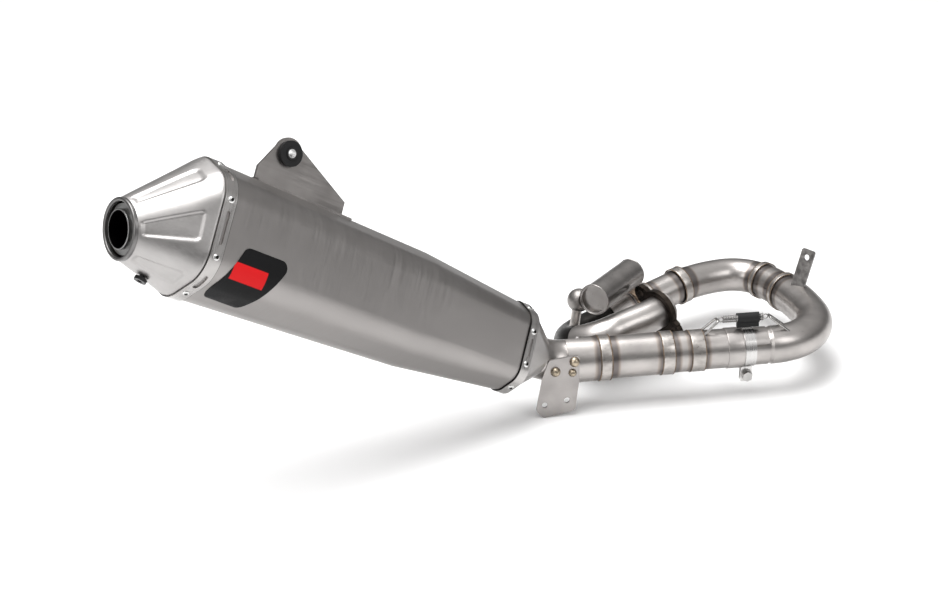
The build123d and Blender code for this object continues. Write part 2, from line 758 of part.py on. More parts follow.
with BuildPart() as step_collar_rear:
    weld_bead(plan_plane(sweep_end, corner_heading), step_tube_r + bead_r, step_tube_r + 0.05,
              ring_half)
    outer_edges = step_collar_rear.edges().filter_by(GeomType.CIRCLE)
    fillet(outer_edges.group_by(SortBy.RADIUS)[-1], 1.0)
step_collar_rear.part.label = "step_collar_rear"
export_step(step_collar_rear.part, "parts/step_collar_rear.step")

with BuildPart() as loop_arc:
    with BuildLine() as arc_path:
        level_arc(sweep_end, corner_heading, corner_r, corner_turn)
        level_arc(corner_end, return_heading, return_r, return_turn)
        Line(return_end, pair_end)
    with BuildSketch(plan_plane(sweep_end, corner_heading)):
        Circle(arc_tube_r)
        Circle(arc_tube_r - wall, mode=Mode.SUBTRACT)
    sweep(path=arc_path.wires()[0])
loop_arc.part.label = "loop_arc"
export_step(loop_arc.part, "parts/loop_arc.step")

# ---------------------------------------------------------------- the pair: port side and loop side
pair_dir = direction(pair_heading, pair_climb)
turn_from = Vector(*turn_start)
to_loop = pair_end - turn_from
pair_gap_vector = to_loop - pair_dir * to_loop.dot(pair_dir)
turn_r = pair_gap_vector.length / 2
pair_normal = pair_gap_vector.normalized()
reach = to_loop.dot(pair_dir)   # from the turn to the end of the level loop


def pair_plane(s, far=True):
    """Plane square to the pair at distance s from the turn, on the loop or the port side."""
    shift = pair_gap_vector if far else pair_gap_vector * 0.0
    return Plane(origin=turn_from + shift + pair_dir * s, x_dir=pair_normal, z_dir=pair_dir)


loop_tube_r = 18.9
kink_gap = 3.2                  # the weld ring covers the mitre between tube and arc
sleeve_start, sleeve_end = 34.0, 64.0
sleeve_fit = 0.04
sleeve_r = port_r + sleeve_fit + 1.3
ball_start, ball_end = 66.0, 78.0
small_ring_start, small_ring_end = 84.0, 92.0

with BuildPart() as loop_tube:
    with BuildSketch(pair_plane(ball_start)):
        Circle(loop_tube_r)
        Circle(loop_tube_r - wall, mode=Mode.SUBTRACT)
    extrude(amount=reach - kink_gap - ball_start)
loop_tube.part.label = "loop_tube"
export_step(loop_tube.part, "parts/loop_tube.step")

big_ring_half = 5.0
with BuildPart() as loop_weld_ring:
    weld_bead(pair_plane(reach), loop_tube_r + 2.5, loop_tube_r + 1.1, big_ring_half)
    outer_edges = loop_weld_ring.edges().filter_by(GeomType.CIRCLE)
    fillet(outer_edges.group_by(SortBy.RADIUS)[-1], 1.1)
loop_weld_ring.part.label = "loop_weld_ring"
export_step(loop_weld_ring.part, "parts/loop_weld_ring.step")

with BuildPart() as loop_small_ring:
    weld_bead(pair_plane((small_ring_start + small_ring_end) / 2), loop_tube_r + 1.6,
              loop_tube_r, (small_ring_end - small_ring_start) / 2)
    outer_edges = loop_small_ring.edges().filter_by(GeomType.CIRCLE)
    fillet(outer_edges.group_by(SortBy.RADIUS)[-1], 1.2)
loop_small_ring.part.label = "loop_small_ring"
export_step(loop_small_ring.part, "parts/loop_small_ring.step")

with BuildPart() as loop_sleeve:
    with BuildSketch(pair_plane(sleeve_start)):
        Circle(sleeve_r)
        Circle(port_r + sleeve_fit, mode=Mode.SUBTRACT)
    extrude(amount=ball_start - sleeve_start)
    with BuildSketch(pair_plane(sleeve_end)):
        Circle(loop_tube_r + 1.4)
        Circle(port_r + sleeve_fit, mode=Mode.SUBTRACT)
    extrude(amount=ball_start - sleeve_end)
loop_sleeve.part.label = "loop_sleeve"
export_step(loop_sleeve.part, "parts/loop_sleeve.step")

with BuildPart() as loop_bead:
    weld_bead(pair_plane((ball_start + ball_end) / 2), loop_tube_r + 1.8, loop_tube_r,
              (ball_end - ball_start) / 2)
    outer_edges = loop_bead.edges().filter_by(GeomType.CIRCLE)
    fillet(outer_edges.group_by(SortBy.RADIUS)[-1], 1.5)
loop_bead.part.label = "loop_bead"
export_step(loop_bead.part, "parts/loop_bead.step")

# ---------------------------------------------------------------- the turn
turn_centre = turn_from + pair_normal * turn_r


def turn_point(angle):
    """Point on the centre line of the turn, angle measured from its port end."""
    back = pair_dir * (-sin(radians(angle)) * turn_r)
    return turn_centre + back - pair_normal * (cos(radians(angle)) * turn_r)


def turn_plane(angle):
    """Plane square to the turn at an angle, looking along the travel."""
    travel = pair_dir * -cos(radians(angle)) + pair_normal * sin(radians(angle))
    across = pair_dir.cross(pair_normal)
    return Plane(origin=turn_point(angle), x_dir=across, z_dir=travel)


with BuildPart() as turn_near:
    with BuildLine() as near_path:
        ThreePointArc(turn_point(0.0), turn_point(near_turn_angle / 2),
                      turn_point(near_turn_angle))
    with BuildSketch(turn_plane(0.0)):
        Circle(port_r)
        Circle(port_r - wall, mode=Mode.SUBTRACT)
    sweep(path=near_path.wires()[0])
turn_near.part.label = "turn_near"
export_step(turn_near.part, "parts/turn_near.step")

insert_end = 60.0               # how far the turn's far leg reaches along the pair
with BuildPart() as turn_far:
    with BuildLine() as far_path:
        ThreePointArc(turn_point(near_turn_angle), turn_point((near_turn_angle + 180.0) / 2),
                      turn_point(180.0))
        Line(turn_point(180.0), turn_point(180.0) + pair_dir * insert_end)
    with BuildSketch(turn_plane(near_turn_angle)):
        Circle(port_r)
        Circle(port_r - wall, mode=Mode.SUBTRACT)
    sweep(path=far_path.wires()[0])
turn_far.part.label = "turn_far"
export_step(turn_far.part, "parts/turn_far.step")

# ---------------------------------------------------------------- port pipe, collar and flange
port_dir = direction(port_heading, port_climb)
port_across = direction(port_heading + 90.0, 0.0)


def port_plane(s):
    """Plane square to the port axis, local x level, normal out of the port face."""
    return Plane(origin=port_dir * s, x_dir=port_across, z_dir=port_dir)


with BuildPart() as port_pipe:
    with BuildLine() as port_path:
        Spline(turn_from, port_dir * -collar_len, tangents=(pair_dir, port_dir))
    with BuildSketch(pair_plane(0.0, far=False)):
        Circle(port_r)
        Circle(port_r - wall, mode=Mode.SUBTRACT)
    sweep(path=port_path.wires()[0])
port_pipe.part.label = "port_pipe"
export_step(port_pipe.part, "parts/port_pipe.step")

with BuildPart() as port_collar:
    with BuildSketch(port_plane(-collar_len)):
        Circle(port_r)
    extrude(amount=collar_len - rim_len)
    with BuildSketch(port_plane(-rim_len)):
        Circle(rim_r)
    extrude(amount=rim_len)
    with BuildSketch(port_plane(0.0)):
        Circle(spigot_r)
    extrude(amount=spigot_len)
    with BuildSketch(port_plane(-collar_len)):
        Circle(port_r - wall)
    extrude(amount=collar_len + spigot_len, mode=Mode.SUBTRACT)
port_collar.part.label = "port_collar"
export_step(port_collar.part, "parts/port_collar.step")

flange_front = -rim_len - flange_fit
flange_back = flange_front - flange_thick
with BuildPart() as port_flange:
    with BuildSketch(port_plane(flange_back)):
        Circle(flange_hub_r)
        with PolarLocations(stud_pitch / 2, 2, start_angle=stud_roll):
            Circle(ear_r)
        with Locations(Rot(0, 0, stud_roll)):
            Rectangle(stud_pitch, 2 * ear_r + 3.0)
        with PolarLocations(stud_pitch / 2, 2, start_angle=stud_roll):
            Circle(stud_hole_r, mode=Mode.SUBTRACT)
        Circle(port_r + flange_fit, mode=Mode.SUBTRACT)
    extrude(amount=flange_thick)
port_flange.part.label = "port_flange"
export_step(port_flange.part, "parts/port_flange.step")

# ---------------------------------------------------------------- resonator
canister_r, canister_wall, canister_len = 16.5, 1.0, 86.0
canister_near = Vector(-79.0, -8.7, 22.0)
canister_dir = direction(50.8, -1.8)
canister_plane = Plane(origin=canister_near, x_dir=direction(140.8, 0.0), z_dir=canister_dir)
bulb_centre = Vector(-92.7, 9.2, 14.0)
bulb_r = 13.0
neck_base, neck_top = Vector(-100.0, 2.0, -22.0), Vector(-94.0, 8.0, 12.0)
neck_r, neck_bore = 5.5, 4.3
cap_recess = 2.0

with BuildPart() as resonator_body:
    with BuildSketch(canister_plane):
        Circle(canister_r)
        Circle(canister_r - canister_wall, mode=Mode.SUBTRACT)
    extrude(amount=canister_len)
resonator_body.part.label = "resonator_body"
export_step(resonator_body.part, "parts/resonator_body.step")

with BuildPart() as resonator_far_cap:
    with BuildSketch(canister_plane.offset(canister_len)):
        Circle(canister_r)
    extrude(amount=3.0)
    fillet(resonator_far_cap.faces().sort_by(Axis(canister_near, canister_dir))[-1].edges(), 2.5)
resonator_far_cap.part.label = "resonator_far_cap"
export_step(resonator_far_cap.part, "parts/resonator_far_cap.step")

with BuildPart() as resonator_disc_cap:
    with BuildSketch(canister_plane.offset(cap_recess)):
        Circle(canister_r - canister_wall)
    extrude(amount=1.2)
    with BuildSketch(canister_plane.offset(-2.2)):
        Circle(canister_r + 1.0)
        Circle(canister_r - 1.8, mode=Mode.SUBTRACT)
    extrude(amount=2.2)
    with BuildSketch(canister_plane):
        Circle(canister_r - canister_wall)
        Circle(canister_r - 1.8, mode=Mode.SUBTRACT)
    extrude(amount=cap_recess)
resonator_disc_cap.part.label = "resonator_disc_cap"
export_step(resonator_disc_cap.part, "parts/resonator_disc_cap.step")

with BuildPart() as resonator_bulb:
    with Locations(bulb_centre):
        Sphere(bulb_r)
    with BuildSketch(canister_plane.offset(-40.0)):
        Circle(canister_r + 1.0)
    extrude(amount=40.0, mode=Mode.SUBTRACT)
    with BuildSketch(canister_plane):
        Circle(canister_r)
    extrude(amount=canister_len, mode=Mode.SUBTRACT)
resonator_bulb.part.label = "resonator_bulb"
export_step(resonator_bulb.part, "parts/resonator_bulb.step")

neck_line = neck_top - neck_base
with BuildPart() as resonator_neck:
    with BuildSketch(Plane(origin=neck_base, z_dir=neck_line)):
        Circle(neck_r)
        Circle(neck_bore, mode=Mode.SUBTRACT)
    extrude(amount=neck_line.length)
    with Locations(bulb_centre):
        Sphere(bulb_r, mode=Mode.SUBTRACT)
    with BuildLine() as neck_cut:
        ThreePointArc(turn_point(near_turn_angle), turn_point((near_turn_angle + 180.0) / 2),
                      turn_point(180.0))
    with BuildSketch(turn_plane(near_turn_angle)):
        Circle(port_r)
    sweep(path=neck_cut.wires()[0], mode=Mode.SUBTRACT)
    with BuildLine() as near_cut:
        ThreePointArc(turn_point(0.0), turn_point(near_turn_angle / 2),
                      turn_point(near_turn_angle))
    with BuildSketch(turn_plane(0.0)):
        Circle(port_r)
    sweep(path=near_cut.wires()[0], mode=Mode.SUBTRACT)
resonator_neck.part.label = "resonator_neck"
export_step(resonator_neck.part, "parts/resonator_neck.step")

# ---------------------------------------------------------------- frame tab on the loop
tab_angle = 9.0
tab_seat = bend(ubend_end, 90.0, sweep_r, tab_angle)
tab_up = Vector(0.30, 0.13, 0.945).normalized()
tab_wide = direction(-43.0, 0.0)
tab_wide = (tab_wide - tab_up * tab_wide.dot(tab_up)).normalized()
tab_thick, tab_width, tab_tall, tab_hole_r = 3.0, 16.0, 42.0, 3.3
tab_plane = Plane(origin=tab_seat + Vector(0, 0, ubend_tube_r) + Vector(-2.0, 3.0, 0),
                  x_dir=tab_wide, z_dir=tab_wide.cross(tab_up))
tab_flip = 1 if tab_plane.y_dir.dot(tab_up) > 0 else -1

with BuildPart() as frame_tab:
    with BuildSketch(tab_plane.offset(-tab_thick / 2)):
        with Locations((0, tab_flip * (tab_tall / 2 - 6.0))):
            RectangleRounded(tab_width, tab_tall + 12.0, 2.5)
        with Locations((0, tab_flip * (tab_tall - 9.0))):
            Circle(tab_hole_r, mode=Mode.SUBTRACT)
    extrude(amount=tab_thick)
    with BuildLine() as tab_cut:
        level_arc(ubend_end, 90.0, sweep_r, step_angle)
    with BuildSketch(plan_plane(ubend_end, 90.0)):
        Circle(ubend_tube_r)
    sweep(path=tab_cut.wires()[0], mode=Mode.SUBTRACT)
frame_tab.part.label = "frame_tab"
export_step(frame_tab.part, "parts/frame_tab.step")

# ---------------------------------------------------------------- spring hooks, spring, sleeve
wire_r = 1.3
spring_z = 20.3
spring_y = link_y
hook_half = 4.5


def hook_loop(foot_x, tip_x, foot_z):
    """Wire staple with two feet on the pipe and its closed end at tip_x."""
    with BuildLine() as wire:
        FilletPolyline((foot_x, spring_y - 6.5, foot_z), (tip_x, spring_y - hook_half, spring_z),
                       (tip_x, spring_y + hook_half, spring_z), (foot_x, spring_y + 6.5, foot_z),
                       radius=1.8)
    path = wire.wires()[0]
    start = path.position_at(0.0)
    with BuildSketch(Plane(origin=start, z_dir=path.tangent_at(0.0))) as profile:
        Circle(wire_r)
    sweep(profile.sketch, path=path)


rear_foot_x, rear_tip_x = 22.0, 39.0
front_foot_x, front_tip_x = 118.0, 97.0
with BuildPart() as rear_hook:
    hook_loop(rear_foot_x, rear_tip_x, 5.0)
    with BuildSketch(link_plane(0.0)):
        Circle(ring_2_r)
    extrude(amount=ring_2_front, mode=Mode.SUBTRACT)
    with BuildSketch(link_plane(ring_2_front)):
        Circle(front_tube_r)
    extrude(amount=30.0, mode=Mode.SUBTRACT)
rear_hook.part.label = "rear_hook"
export_step(rear_hook.part, "parts/rear_hook.step")

with BuildPart() as front_hook:
    hook_loop(front_foot_x, front_tip_x, 3.5)
    with BuildLine() as hook_cut:
        level_arc(loop_start, 0.0, ubend_r, 60.0)
    with BuildSketch(link_plane(ubend_start_x)):
        Circle(ubend_tube_r)
    sweep(path=hook_cut.wires()[0], mode=Mode.SUBTRACT)
front_hook.part.label = "front_hook"
export_step(front_hook.part, "parts/front_hook.step")

coil_start, coil_end, coil_r, coil_wire = 47.0, 91.0, 3.3, 0.7
spring_turns = 18
end_lip = 0.25                  # how far the end discs stand over the coils
with BuildPart() as spring:
    with BuildLine() as coil:
        Helix(pitch=(coil_end - coil_start) / spring_turns, height=coil_end - coil_start,
              radius=coil_r, center=(coil_start, spring_y, spring_z), direction=(1, 0, 0))
    with BuildSketch(Plane(origin=coil.line @ 0, z_dir=coil.line % 0)):
        Circle(coil_wire)
    sweep(path=coil.wires()[0], is_frenet=True)
    for end, way, length in ((coil_start, -1, 6.2), (coil_end, 1, 4.2)):
        with BuildSketch(Plane(origin=(end - way * coil_wire, spring_y, spring_z),
                               z_dir=(way, 0, 0))):
            Circle(coil_r + coil_wire + end_lip)
        extrude(amount=coil_wire * 2 + end_lip)
        with BuildSketch(Plane(origin=(end, spring_y, spring_z), z_dir=(way, 0, 0))):
            Circle(coil_wire)
        extrude(amount=length)
spring.part.label = "spring"
export_step(spring.part, "parts/spring.step")

rubber_start, rubber_end, rubber_r = 61.0, 85.0, 5.6
with BuildPart() as spring_sleeve:
    with BuildSketch(Plane(origin=(rubber_start, spring_y, spring_z), x_dir=(0, 1, 0),
                           z_dir=(1, 0, 0))):
        Circle(rubber_r)
        with Locations((0, -7.2)):
            Rectangle(5.0, 6.0)
        Circle(coil_r + coil_wire + 0.05, mode=Mode.SUBTRACT)
    extrude(amount=rubber_end - rubber_start)
spring_sleeve.part.label = "spring_sleeve"
export_step(spring_sleeve.part, "parts/spring_sleeve.step")

# ---------------------------------------------------------------- lower bracket at the inlet
saddle_r = inlet_r + 2.4
saddle_start, saddle_end = -127.5, link_back
tab_face = link_y - saddle_r
with BuildPart() as saddle:
    link_ring(saddle_start, saddle_end, saddle_r, inlet_r)
    with BuildSketch(link_plane(saddle_start)):
        with Locations((25.0, 0)):
            Rectangle(50.0, 80.0)
    extrude(amount=saddle_end - saddle_start, mode=Mode.SUBTRACT)
saddle.part.label = "saddle"
export_step(saddle.part, "parts/saddle.step")

lower_thick = 2.4
lower_hole_r = 3.2
lower_holes = ((-154.0, -52.0), (-130.0, -48.0))
lower_plane = Plane(origin=(0, tab_face, 0), x_dir=(1, 0, 0), z_dir=(0, -1, 0))
with BuildPart() as lower_bracket:
    with BuildSketch(lower_plane):
        Polygon((-157.0, -20.0), (-150.0, 0.0), (-117.0, 4.0), (-117.0, -26.0),
                (-121.0, -60.0), (-155.0, -67.0), (-163.0, -58.0), align=None)
        fillet(vertices(), radius=4.0)
        with Locations(*lower_holes):
            Circle(lower_hole_r, mode=Mode.SUBTRACT)
    extrude(amount=lower_thick)
lower_bracket.part.label = "lower_bracket"
export_step(lower_bracket.part, "parts/lower_bracket.step")

blob_places = ((-143.0, -13.5, 5.4), (-122.5, -3.5, 5.6), (-124.5, -16.0, 4.4))
with BuildPart() as weld_blobs:
    for x, z, radius in blob_places:
        with Locations((x, tab_face - lower_thick, z)):
            Sphere(radius)
    with BuildSketch(lower_plane.offset(lower_thick)):
        with Locations((-135.0, -20.0)):
            Rectangle(100.0, 100.0)
    extrude(amount=-30.0, mode=Mode.SUBTRACT)
weld_blobs.part.label = "weld_blobs"
export_step(weld_blobs.part, "parts/weld_blobs.step")
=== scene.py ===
"""Finish, welds, rivets and spring of a wrap-round racing exhaust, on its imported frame."""
import json
from math import atan2, ceil, cos, hypot, pi, radians, sin

import bmesh
import bpy
import numpy as np
from mathutils import Matrix, Vector
from mathutils.bvhtree import BVHTree

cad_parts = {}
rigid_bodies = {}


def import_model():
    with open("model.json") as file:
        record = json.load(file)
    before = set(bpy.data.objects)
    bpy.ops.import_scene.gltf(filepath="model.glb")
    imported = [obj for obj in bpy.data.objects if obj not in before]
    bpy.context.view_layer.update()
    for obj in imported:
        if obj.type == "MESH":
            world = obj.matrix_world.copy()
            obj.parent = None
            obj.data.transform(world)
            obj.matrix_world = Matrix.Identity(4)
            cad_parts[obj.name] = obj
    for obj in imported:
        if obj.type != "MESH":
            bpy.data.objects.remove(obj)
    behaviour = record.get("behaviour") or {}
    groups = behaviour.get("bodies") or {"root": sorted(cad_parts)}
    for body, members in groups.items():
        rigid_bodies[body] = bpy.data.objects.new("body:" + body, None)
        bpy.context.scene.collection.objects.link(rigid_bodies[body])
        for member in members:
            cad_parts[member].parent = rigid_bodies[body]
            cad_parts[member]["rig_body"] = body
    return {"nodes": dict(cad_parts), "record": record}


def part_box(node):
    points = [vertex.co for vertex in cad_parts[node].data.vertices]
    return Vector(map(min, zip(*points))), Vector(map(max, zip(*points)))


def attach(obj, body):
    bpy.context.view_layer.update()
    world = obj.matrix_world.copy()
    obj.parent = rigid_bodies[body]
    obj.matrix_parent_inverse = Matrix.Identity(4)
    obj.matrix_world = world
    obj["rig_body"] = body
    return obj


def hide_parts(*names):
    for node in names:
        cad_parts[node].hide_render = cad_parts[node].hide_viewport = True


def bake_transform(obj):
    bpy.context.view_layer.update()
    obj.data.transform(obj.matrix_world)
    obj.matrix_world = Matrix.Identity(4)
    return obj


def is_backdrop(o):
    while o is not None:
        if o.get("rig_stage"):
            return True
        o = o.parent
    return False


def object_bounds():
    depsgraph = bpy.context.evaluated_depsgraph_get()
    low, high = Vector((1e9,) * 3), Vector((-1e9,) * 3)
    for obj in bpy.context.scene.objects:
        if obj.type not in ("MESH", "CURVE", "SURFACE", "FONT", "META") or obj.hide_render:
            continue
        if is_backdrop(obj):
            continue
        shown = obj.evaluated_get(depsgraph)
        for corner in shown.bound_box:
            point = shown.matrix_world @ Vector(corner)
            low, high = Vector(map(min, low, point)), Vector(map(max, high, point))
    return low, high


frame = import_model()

cad_low, cad_high = (Vector(corner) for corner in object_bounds())
nodes = frame["nodes"]
record = frame["record"]
mm = 0.001
same_point = 0.004 * mm         # vertices nearer than this are one
sharp_turn = 32.0               # degrees between faces that still shade as an edge


# ---------------------------------------------------------------- camera, floor and light
view_turn, view_rise = radians(-10.0), radians(24.0)
eye = Vector((-0.6635, -2.5436, 1.1829))
lens_length, film_width, nearest = 100.0, 36.0, 0.05
wall_foot, wall_head = (0.16, 0.16, 0.165, 1), (0.92, 0.92, 0.92, 1)
wall_greys = ((0.08, 0.10), (0.30, 0.22), (0.60, 0.58))         # height up the wall, brightness
soft_boxes = (                                                  # offset, size and power
    ("overhead_box", Vector((-0.25, 0.10, 1.70)), (2.0, 1.2), 46.0),
    ("left_box", Vector((-1.50, -1.30, 0.75)), (0.9, 1.0), 9.0),
    ("right_box", Vector((1.30, -1.20, 1.15)), (0.7, 0.9), 8.0))
floor_reach, floor_gap = 6, 0.4 * mm


def set_camera():
    """Long lens at the turn and rise the exhaust is looked at from."""
    back = Vector((sin(view_turn) * cos(view_rise), -cos(view_turn) * cos(view_rise), sin(view_rise)))
    right = Vector((cos(view_turn), sin(view_turn), 0.0))
    up = back.cross(right)
    lens = bpy.data.cameras.new("camera")
    lens.lens = lens_length
    lens.sensor_width = film_width
    lens.clip_start = nearest
    camera = bpy.data.objects.new("camera", lens)
    turn = Matrix((right, up, back)).transposed().to_4x4()
    camera.matrix_world = Matrix.Translation(eye) @ turn
    bpy.context.scene.collection.objects.link(camera)
    bpy.context.scene.camera = camera


def add_softbox(name, place, aim, size, power):
    """Rectangular soft light pointed at aim."""
    light = bpy.data.lights.new(name, "AREA")
    light.shape = "RECTANGLE"
    light.size, light.size_y = size
    light.energy = power
    box = bpy.data.objects.new(name, light)
    box.location = place
    box.rotation_euler = (Vector(aim) - Vector(place)).to_track_quat("-Z", "Y").to_euler()
    bpy.context.scene.collection.objects.link(box)


def set_studio():
    """Pale floor, grey walls that brighten upwards, and three soft boxes."""
    world = bpy.data.worlds.new("studio")
    world.use_nodes = True
    tree = world.node_tree
    place = tree.nodes.new("ShaderNodeTexCoord")
    height = tree.nodes.new("ShaderNodeSeparateXYZ")
    walls = tree.nodes.new("ShaderNodeValToRGB")
    walls.color_ramp.elements[0].position = 0.0
    walls.color_ramp.elements[0].color = wall_foot
    walls.color_ramp.elements[1].position = 1.0
    walls.color_ramp.elements[1].color = wall_head
    for stop, grey in wall_greys:
        walls.color_ramp.elements.new(stop).color = (grey, grey * 0.99, grey * 0.985, 1)
    tree.links.new(place.outputs["Generated"], height.inputs[0])
    tree.links.new(height.outputs["Z"], walls.inputs[0])
    sky = tree.nodes["Background"]
    tree.links.new(walls.outputs[0], sky.inputs["Color"])
    sky.inputs["Strength"].default_value = 1.0
    bpy.context.scene.world = world
    bpy.context.scene.view_settings.view_transform = "Standard"
    bpy.context.scene.view_settings.look = "None"

    middle = (cad_low + cad_high) / 2
    for name, offset, size, power in soft_boxes:
        add_softbox(name, middle + offset, middle, size, power)

    floor_z = cad_low.z - floor_gap
    sheet = bmesh.new()
    for x, y in ((-1, -1), (1, -1), (1, 1), (-1, 1)):
        sheet.verts.new((x * floor_reach, y * floor_reach, floor_z))
    sheet.faces.new(sheet.verts)
    mesh = bpy.data.meshes.new("floor")
    sheet.to_mesh(mesh)
    sheet.free()
    floor = bpy.data.objects.new("floor", mesh)
    bpy.context.scene.collection.objects.link(floor)
    paper = bpy.data.materials.new("floor_paper")
    paper.use_nodes = True
    shader = paper.node_tree.nodes["Principled BSDF"]
    shader.inputs["Base Color"].default_value = (0.93, 0.93, 0.93, 1)
    shader.inputs["Roughness"].default_value = 0.85
    shader.inputs["Specular IOR Level"].default_value = 0.15
    floor.data.materials.append(paper)
    floor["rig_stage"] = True


set_camera()
set_studio()

# ---------------------------------------------------------------- silencer directions
silencer_heading, silencer_climb, silencer_roll = radians(199.0), radians(30.2), radians(21.0)
silencer_root = Vector((-143.7, -81.0, -14.0)) * mm
silencer_axis = Vector((cos(silencer_climb) * cos(silencer_heading),
                        cos(silencer_climb) * sin(silencer_heading), sin(silencer_climb)))
side_flat = Vector((cos(silencer_heading + pi / 2), sin(silencer_heading + pi / 2), 0.0))
up_flat = silencer_axis.cross(side_flat)
side_dir = side_flat * cos(silencer_roll) + up_flat * sin(silencer_roll)
up_dir = up_flat * cos(silencer_roll) - side_flat * sin(silencer_roll)
along_silencer = Matrix((silencer_axis, side_dir, up_dir)).transposed()
along_link = Matrix.Identity(3)


def on_silencer_axis(point):
    """The point of the silencer's axis that lies beside the given one."""
    return silencer_root + silencer_axis * (point - silencer_root).dot(silencer_axis)


# ---------------------------------------------------------------- reading shapes from the frame
def node_points(node):
    """A CAD node's vertices as rows of x, y, z."""
    mesh = nodes[node].data
    points = np.empty(len(mesh.vertices) * 3)
    mesh.vertices.foreach_get("co", points)
    return points.reshape(-1, 3)


def ring_seat(node):
    """Centre, axis, outer radius and half length of a short round ring."""
    rim_share = 0.97
    points = node_points(node)
    centre = (points.max(axis=0) + points.min(axis=0)) / 2
    for _ in range(3):
        spread = np.linalg.eigh(np.cov((points - centre).T))
        axis = spread[1][:, 0]
        flat = points - centre
        flat = flat - np.outer(flat @ axis, axis)
        reach = np.linalg.norm(flat, axis=1)
        rim = flat[reach > reach.max() * rim_share]
        centre = centre + (rim.max(axis=0) + rim.min(axis=0)) / 4
    along = (points - centre) @ axis
    centre = centre + axis * (along.max() + along.min()) / 2
    return Vector(centre), Vector(axis), float(reach.max()), float((along.max() - along.min()) / 2)


def loose_solids(node):
    """Vertex clouds of the separate solids in a node, from a merged copy."""
    work = bmesh.new()
    work.from_mesh(nodes[node].data)
    bmesh.ops.remove_doubles(work, verts=work.verts, dist=0.01 * mm)
    clouds, seen = [], set()
    for first in work.verts:
        if first in seen:
            continue
        stack, cloud = [first], []
        seen.add(first)
        while stack:
            vert = stack.pop()
            cloud.append(vert.co[:])
            for edge in vert.link_edges:
                other = edge.other_vert(vert)
                if other not in seen:
                    seen.add(other)
                    stack.append(other)
        clouds.append(np.array(cloud))
    work.free()
    return clouds


# ---------------------------------------------------------------- finishes
weld_nodes = ("link_weld_ring", "link_ring_rear", "link_ring_front", "loop_small_ring",
              "loop_bead", "step_collar_front", "step_collar_rear", "loop_weld_ring")
weld_seats = {node: ring_seat(node) for node in weld_nodes}
lump_radius = 4 * mm
blob_seats = [(Vector(cloud.mean(axis=0)), lump_radius) for cloud in loose_solids("weld_blobs")]


def wire(tree, kind, **settings):
    """New shader node with the given settings."""
    node = tree.nodes.new(kind)
    for key, value in settings.items():
        setattr(node, key, value)
    return node


def ramp(tree, source, stops):
    """Colour ramp over a 0 to 1 value."""
    node = tree.nodes.new("ShaderNodeValToRGB")
    first, last = node.color_ramp.elements
    first.position, first.color = stops[0][0], (*stops[0][1], 1)
    last.position, last.color = stops[-1][0], (*stops[-1][1], 1)
    for place, colour in stops[1:-1]:
        node.color_ramp.elements.new(place).color = (*colour, 1)
    tree.links.new(source, node.inputs[0])
    return node.outputs[0]


def pattern(tree, turn, size, detail=3.0, rough=0.55):
    """Noise whose grains have the given size in metres along the three turned axes."""
    place = tree.nodes.new("ShaderNodeTexCoord")
    mapping = wire(tree, "ShaderNodeMapping", vector_type="TEXTURE")
    mapping.inputs["Rotation"].default_value = turn.to_euler()
    mapping.inputs["Scale"].default_value = size
    noise = tree.nodes.new("ShaderNodeTexNoise")
    noise.inputs["Scale"].default_value = 1.0
    noise.inputs["Detail"].default_value = detail
    noise.inputs["Roughness"].default_value = rough
    tree.links.new(place.outputs["Object"], mapping.inputs["Vector"])
    tree.links.new(mapping.outputs[0], noise.inputs["Vector"])
    return noise.outputs["Fac"]


def blend_colour(tree, share, low, high, mode="MIX"):
    """Mix of two colours, each a socket or a plain colour."""
    mix = wire(tree, "ShaderNodeMix", data_type="RGBA", blend_type=mode)
    for socket, value in ((mix.inputs[0], share), (mix.inputs[6], low), (mix.inputs[7], high)):
        if hasattr(value, "is_linked"):
            tree.links.new(value, socket)
        elif isinstance(value, float):
            socket.default_value = value
        else:
            socket.default_value = (*value, 1)
    return mix.outputs[2]


def spread_of(tree, value, low, high, to_low, to_high):
    """Value rescaled from one span to another, held inside it."""
    span = tree.nodes.new("ShaderNodeMapRange")
    span.clamp = True
    tree.links.new(value, span.inputs["Value"])
    span.inputs["From Min"].default_value = low
    span.inputs["From Max"].default_value = high
    span.inputs["To Min"].default_value = to_low
    span.inputs["To Max"].default_value = to_high
    return span.outputs[0]


def heat_near(tree, seats, reach):
    """1 on a weld, falling to 0 at reach from it, for every (centre, radius) listed."""
    place = tree.nodes.new("ShaderNodeTexCoord")
    most = None
    for centre, radius in seats:
        gap = wire(tree, "ShaderNodeVectorMath", operation="DISTANCE")
        gap.inputs[1].default_value = centre
        tree.links.new(place.outputs["Object"], gap.inputs[0])
        near = spread_of(tree, gap.outputs["Value"], radius, radius + reach, 1.0, 0.0)
        if most is None:
            most = near
            continue
        higher = wire(tree, "ShaderNodeMath", operation="MAXIMUM")
        tree.links.new(most, higher.inputs[0])
        tree.links.new(near, higher.inputs[1])
        most = higher.outputs[0]
    return most


straw, brown, scorch = (0.36, 0.25, 0.12), (0.13, 0.075, 0.04), (0.035, 0.025, 0.025)
heat_reach, heat_strength, relief_depth = 2.7 * mm, 0.66, 0.3 * mm
# Bore, hole and seam colours: the first is real soot deepened as painted shade inside the outlet bore,
# the second is painted light of the backdrop seen through the hanger hole, the third is painted shade
# in the seams between silencer parts.
soot_and_bore_shade, painted_see_through_light, seam_shade = (0.008, 0.0075, 0.007), (0.85, 0.85, 0.85), (0.03, 0.028, 0.027)
bar_red = (0.62, 0.010, 0.012)


